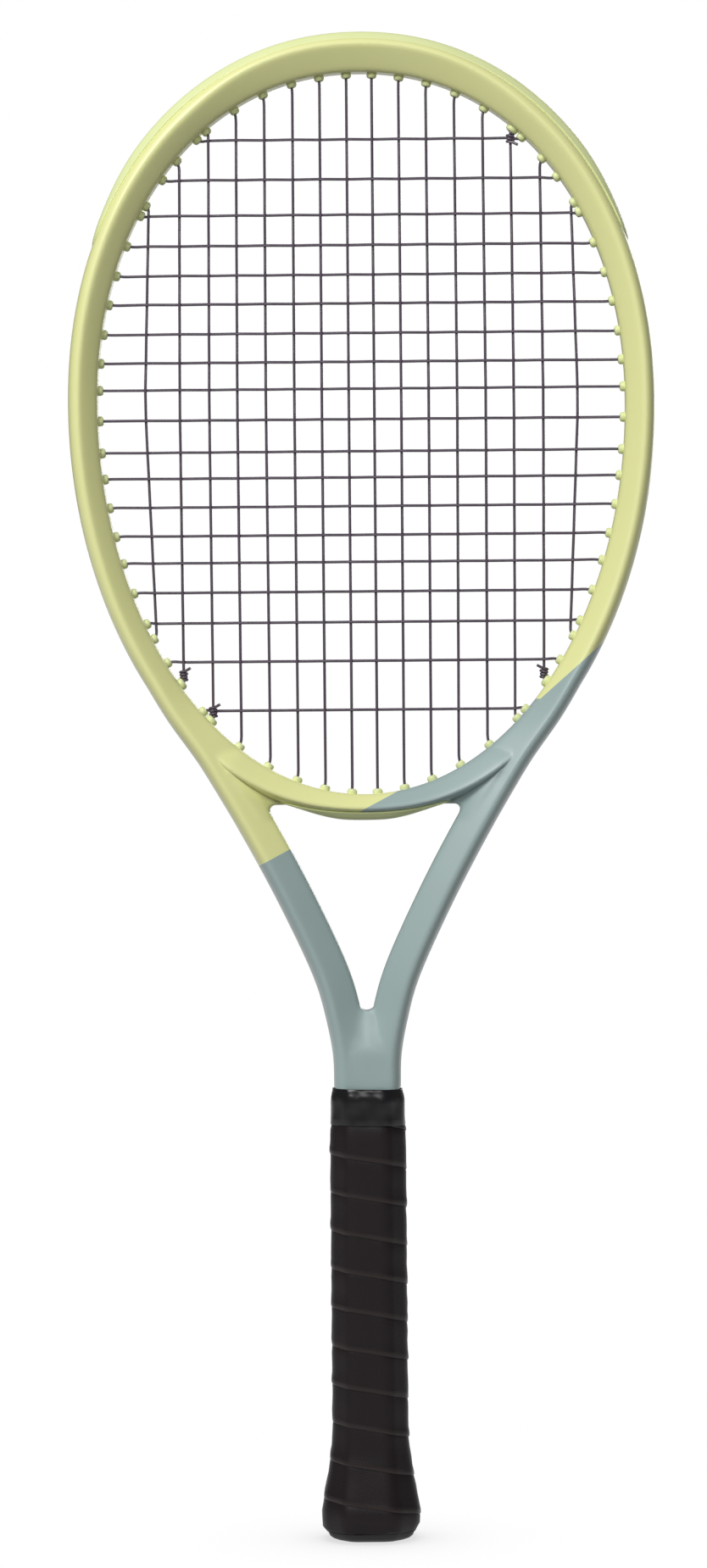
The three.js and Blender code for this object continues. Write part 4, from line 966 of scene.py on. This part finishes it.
# The strap across its width: rise from its lower edge and height over the bed. The lower edge rides up on the
# turn below; the upper edge is skived thin under the next turn.
STRAP = [
    (-0.1, 1.4), (-0.2, 1.68), (-0.05, 1.92), (0.4, 2.1), (1.2, 2.16), (2.6, 2.08), (4.5, 1.97), (8.7, 1.9),
    (13.0, 1.87), (15.8, 1.8), (17.2, 1.66), (18.6, 1.4), (18.8, 0.2), (9.0, 0.05), (1.9, 0.1), (1.2, 1.2),
]


def strap_ring(turn):
    low = GRIP_FRONT_SEAM_Z + GRIP_PITCH * turn
    wobble = 0.16 * math.sin(turn * 5.1) + 0.12 * math.sin(turn * 12.7 + 1.0)
    ring = []
    for rise, height in STRAP:
        z = min(max(low + rise + wobble, GRIP_FOOT_Z), GRIP_TOP_Z)
        swell = 0.07 * math.sin(turn * 9.3 + rise * 0.5) + 0.05 * math.sin(turn * 23.0 + rise)
        grow = np.interp(z, bed_z, bed_grow) + height * (1 + swell * 0.6)
        if z < GRIP_FOOT_Z + GRIP_LIP:
            grow -= GRIP_LIP_IN * (1 - (z - GRIP_FOOT_Z) / GRIP_LIP) ** 2
        x, y = on_outline(turn, grow)
        ring.append(Vector((x, y, z)))
    return ring


first_turn = (GRIP_FOOT_Z - GRIP_START - GRIP_FRONT_SEAM_Z) / GRIP_PITCH
last_turn = (GRIP_TOP_Z - GRIP_END - GRIP_FRONT_SEAM_Z) / GRIP_PITCH
steps = int((last_turn - first_turn) * WINDING)
strap_rings = [strap_ring(mix(first_turn, last_turn, i / steps)) for i in range(steps + 1)]
strap = loft("grip_strap", strap_rings)

# How close each place of the strap is to its raised lower edge, for the polish and painted highlight there.
near_edge = [max(0.0, 1 - abs(rise - 0.8) / 1.7) if 2 <= k <= 6 else 0.0 for k, (rise, _) in enumerate(STRAP)]
lookup = KDTree(len(strap_rings) * len(STRAP))
for i, point in enumerate(p for ring in strap_rings for p in ring):
    lookup.insert(point * MM, i)
lookup.balance()
lap = strap.data.attributes.new("lap", "FLOAT", "POINT")
lap.data.foreach_set("value", [near_edge[lookup.find(v.co)[1] % len(STRAP)] for v in strap.data.vertices])
smooth(strap, 50)

# Polyurethane-faced synthetic leather: warm black, matt, a pebble about 0.5 mm across, a little polished on the
# raised laps where a hand rubs them, where a lighter brown is also painted on as a highlight.
leather = finish("embossed_synthetic_leather", "#110A0D", "#1C1316", 70.0, 3.0)
pebble = node(leather.tree, "ShaderNodeTexVoronoi", {"feature": "SMOOTH_F1"}, Vector=leather.where,
              Scale=1500.0)
crease = node(leather.tree, "ShaderNodeTexNoise", Vector=leather.where, Scale=260.0, Detail=4.0, Roughness=0.6)
edge = node(leather.tree, "ShaderNodeAttribute", {"attribute_name": "lap"})
# The raised laps are tinted a lighter brown: a painted highlight, not a colour of the leather.
painted_highlight_share = node(leather.tree, "ShaderNodeMath", {"operation": "MULTIPLY"}, in_0=edge.outputs["Fac"], in_1=0.7)
tone = node(leather.tree, "ShaderNodeMix", RGBA, Factor=painted_highlight_share.outputs[0], in_6=leather.tone, in_7="#3A302F")
relief = node(leather.tree, "ShaderNodeMath", {"operation": "ADD"}, in_0=pebble.outputs["Distance"],
              in_1=crease.outputs["Fac"])
skin = node(leather.tree, "ShaderNodeBump", Height=relief.outputs[0], Strength=0.35, Distance=0.12 * MM)
polish = node(leather.tree, "ShaderNodeMapRange", Value=edge.outputs["Fac"], To_Min=0.46, To_Max=0.3)
plugged(leather.shader, Base_Color=tone.outputs[2], Normal=skin.outputs[0], Roughness=polish.outputs[0],
        Specular_IOR_Level=0.24)
coated(strap, leather)
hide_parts("grip")
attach(strap, "racket")


# Finishing tape
# Two turns of glossy PVC tape, stretched over the strap's upper end and on to the shaft, so that it shows the
# lap beneath it and gathers in small wrinkles at its edges.
TAPE_ROWS = [
    (188.3, 1.5), (188.5, 1.85), (189.2, 1.95), (191.5, 1.8), (195, 1.7), (198.5, 1.68), (200.6, 1.62),
    (202.2, 1.3), (203.6, 0.9), (204.6, 0.78), (204.9, 0.55), (204.7, 0.2), (202, 0.25), (189, 0.9),
    (188.4, 1.2),
]
TAPE_SIDES = 128


def tape_ring(turn):
    ring = []
    for z, grow in TAPE_ROWS:
        wrinkle = 0.09 * math.sin(turn * math.tau * 7 + z * 0.5) + 0.05 * math.sin(turn * math.tau * 17 - z)
        x, y = on_outline(turn, grow + wrinkle)
        ring.append(Vector((x, y, z + 0.35 * math.sin(turn * math.tau + 0.6))))
    return ring


tape = loft("finishing_tape_wound", [tape_ring(i / TAPE_SIDES) for i in range(TAPE_SIDES)], closed=True)
smooth(tape, 50)

# Plasticised PVC film: black, glossy, softly rippled by the stretch.
film = finish("stretched_pvc_film", "#0F0F12", "#161519", 70.0, 1.0)
skin = node(film.tree, "ShaderNodeBump", Height=film.pattern, Strength=0.08, Distance=0.5 * MM)
plugged(film.shader, Normal=skin.outputs[0], Roughness=0.26, Specular_IOR_Level=0.35)
coated(tape, film)
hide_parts("finishing_tape")
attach(tape, "racket")


# Studio
# A white floor and backdrop, a large soft key high on the front left, a weak front light, one for the back and
# a dim even room. The camera is level with the racket's middle, square to its face and rolled as in the photo.
FLOOR_HALF = 8  # metres
floor_mesh = bpy.data.meshes.new("studio_floor")
floor_mesh.from_pydata([(x, y, 0) for x, y in rectangle(FLOOR_HALF, FLOOR_HALF)], [], [(0, 1, 2, 3)])
floor = new_object("studio_floor", floor_mesh)


def seen_by(tree, *kinds):
    """1 for the rays of any of these kinds."""
    rays = node(tree, "ShaderNodeLightPath")
    seen = rays.outputs[kinds[0]]
    for kind in kinds[1:]:
        either = node(tree, "ShaderNodeMath", {"operation": "MAXIMUM"}, in_0=seen, in_1=rays.outputs[kind])
        seen = either.outputs[0]
    return seen


paper = bpy.data.materials.new("white_studio_paper")
paper.use_nodes = True
tree = paper.node_tree
tree.nodes.clear()
seen = seen_by(tree, "Is Camera Ray", "Is Transmission Ray", "Is Glossy Ray")
# The floor glows white to camera, glossy and transmission rays; ambient occlusion dims the glow near the racket
# as a painted contact shadow.
under = node(tree, "ShaderNodeAmbientOcclusion", {"samples": 12}, Distance=0.07)
shade = node(tree, "ShaderNodeMapRange", Value=under.outputs["AO"], From_Min=0.35, From_Max=0.95, To_Min=0.72)
glow_with_painted_shadow = node(tree, "ShaderNodeEmission", Color="#FFFFFF", Strength=shade.outputs[0])
bounced = node(tree, "ShaderNodeBsdfDiffuse", Color="#6E6E6E")
either = node(tree, "ShaderNodeMixShader", in_0=seen, in_1=bounced.outputs[0], in_2=glow_with_painted_shadow.outputs[0])
node(tree, "ShaderNodeOutputMaterial", in_0=either.outputs[0])
floor_mesh.materials.append(paper)

world = bpy.data.worlds.new("studio")
bpy.context.scene.world = world
world.use_nodes = True
tree = world.node_tree
tree.nodes.clear()
seen = seen_by(tree, "Is Camera Ray", "Is Transmission Ray")
room = node(tree, "ShaderNodeBackground", Color="#FFFFFF", Strength=0.22)
white = node(tree, "ShaderNodeBackground", Color="#FFFFFF", Strength=1.0)
either = node(tree, "ShaderNodeMixShader", in_0=seen, in_1=room.outputs[0], in_2=white.outputs[0])
node(tree, "ShaderNodeOutputWorld", in_0=either.outputs[0])


def lamp(name, place, aim, wide, high, watts):
    light = bpy.data.lights.new(name, "AREA")
    light.shape, light.size, light.size_y, light.energy = "RECTANGLE", wide, high, watts
    holder = new_object(name, light)
    holder.location = place
    holder.rotation_euler = (Vector(aim) - Vector(place)).to_track_quat("-Z", "Y").to_euler()


lamp("key", (-1.15, -1.72, 2.0), (0, 0, 0.4), 1.0, 1.2, 47)
lamp("front", (0.1, -2.3, 1.4), (0, 0, 0.35), 0.5, 0.6, 9)
lamp("back", (0.9, 2.0, 1.2), (0, 0, 0.38), 1.2, 1.4, 18)

eye = bpy.data.cameras.new("camera")
eye.sensor_fit = "VERTICAL"
eye.sensor_height = 24
DISTANCE, EYE_X, EYE_Z, EYE_ROLL = 2.0, -0.0052, 0.3435, 0.5
FRAME_HIGH = 1850 * 0.3862 * MM  # the photograph's height in pixels, and millimetres to a pixel
eye.lens = eye.sensor_height * DISTANCE / FRAME_HIGH
camera = new_object("camera", eye)
camera.location = (EYE_X, -DISTANCE, EYE_Z)
camera.rotation_euler = (QUARTER, math.radians(EYE_ROLL), 0)
bpy.context.scene.camera = camera
bpy.context.scene.view_settings.view_transform = "Standard"
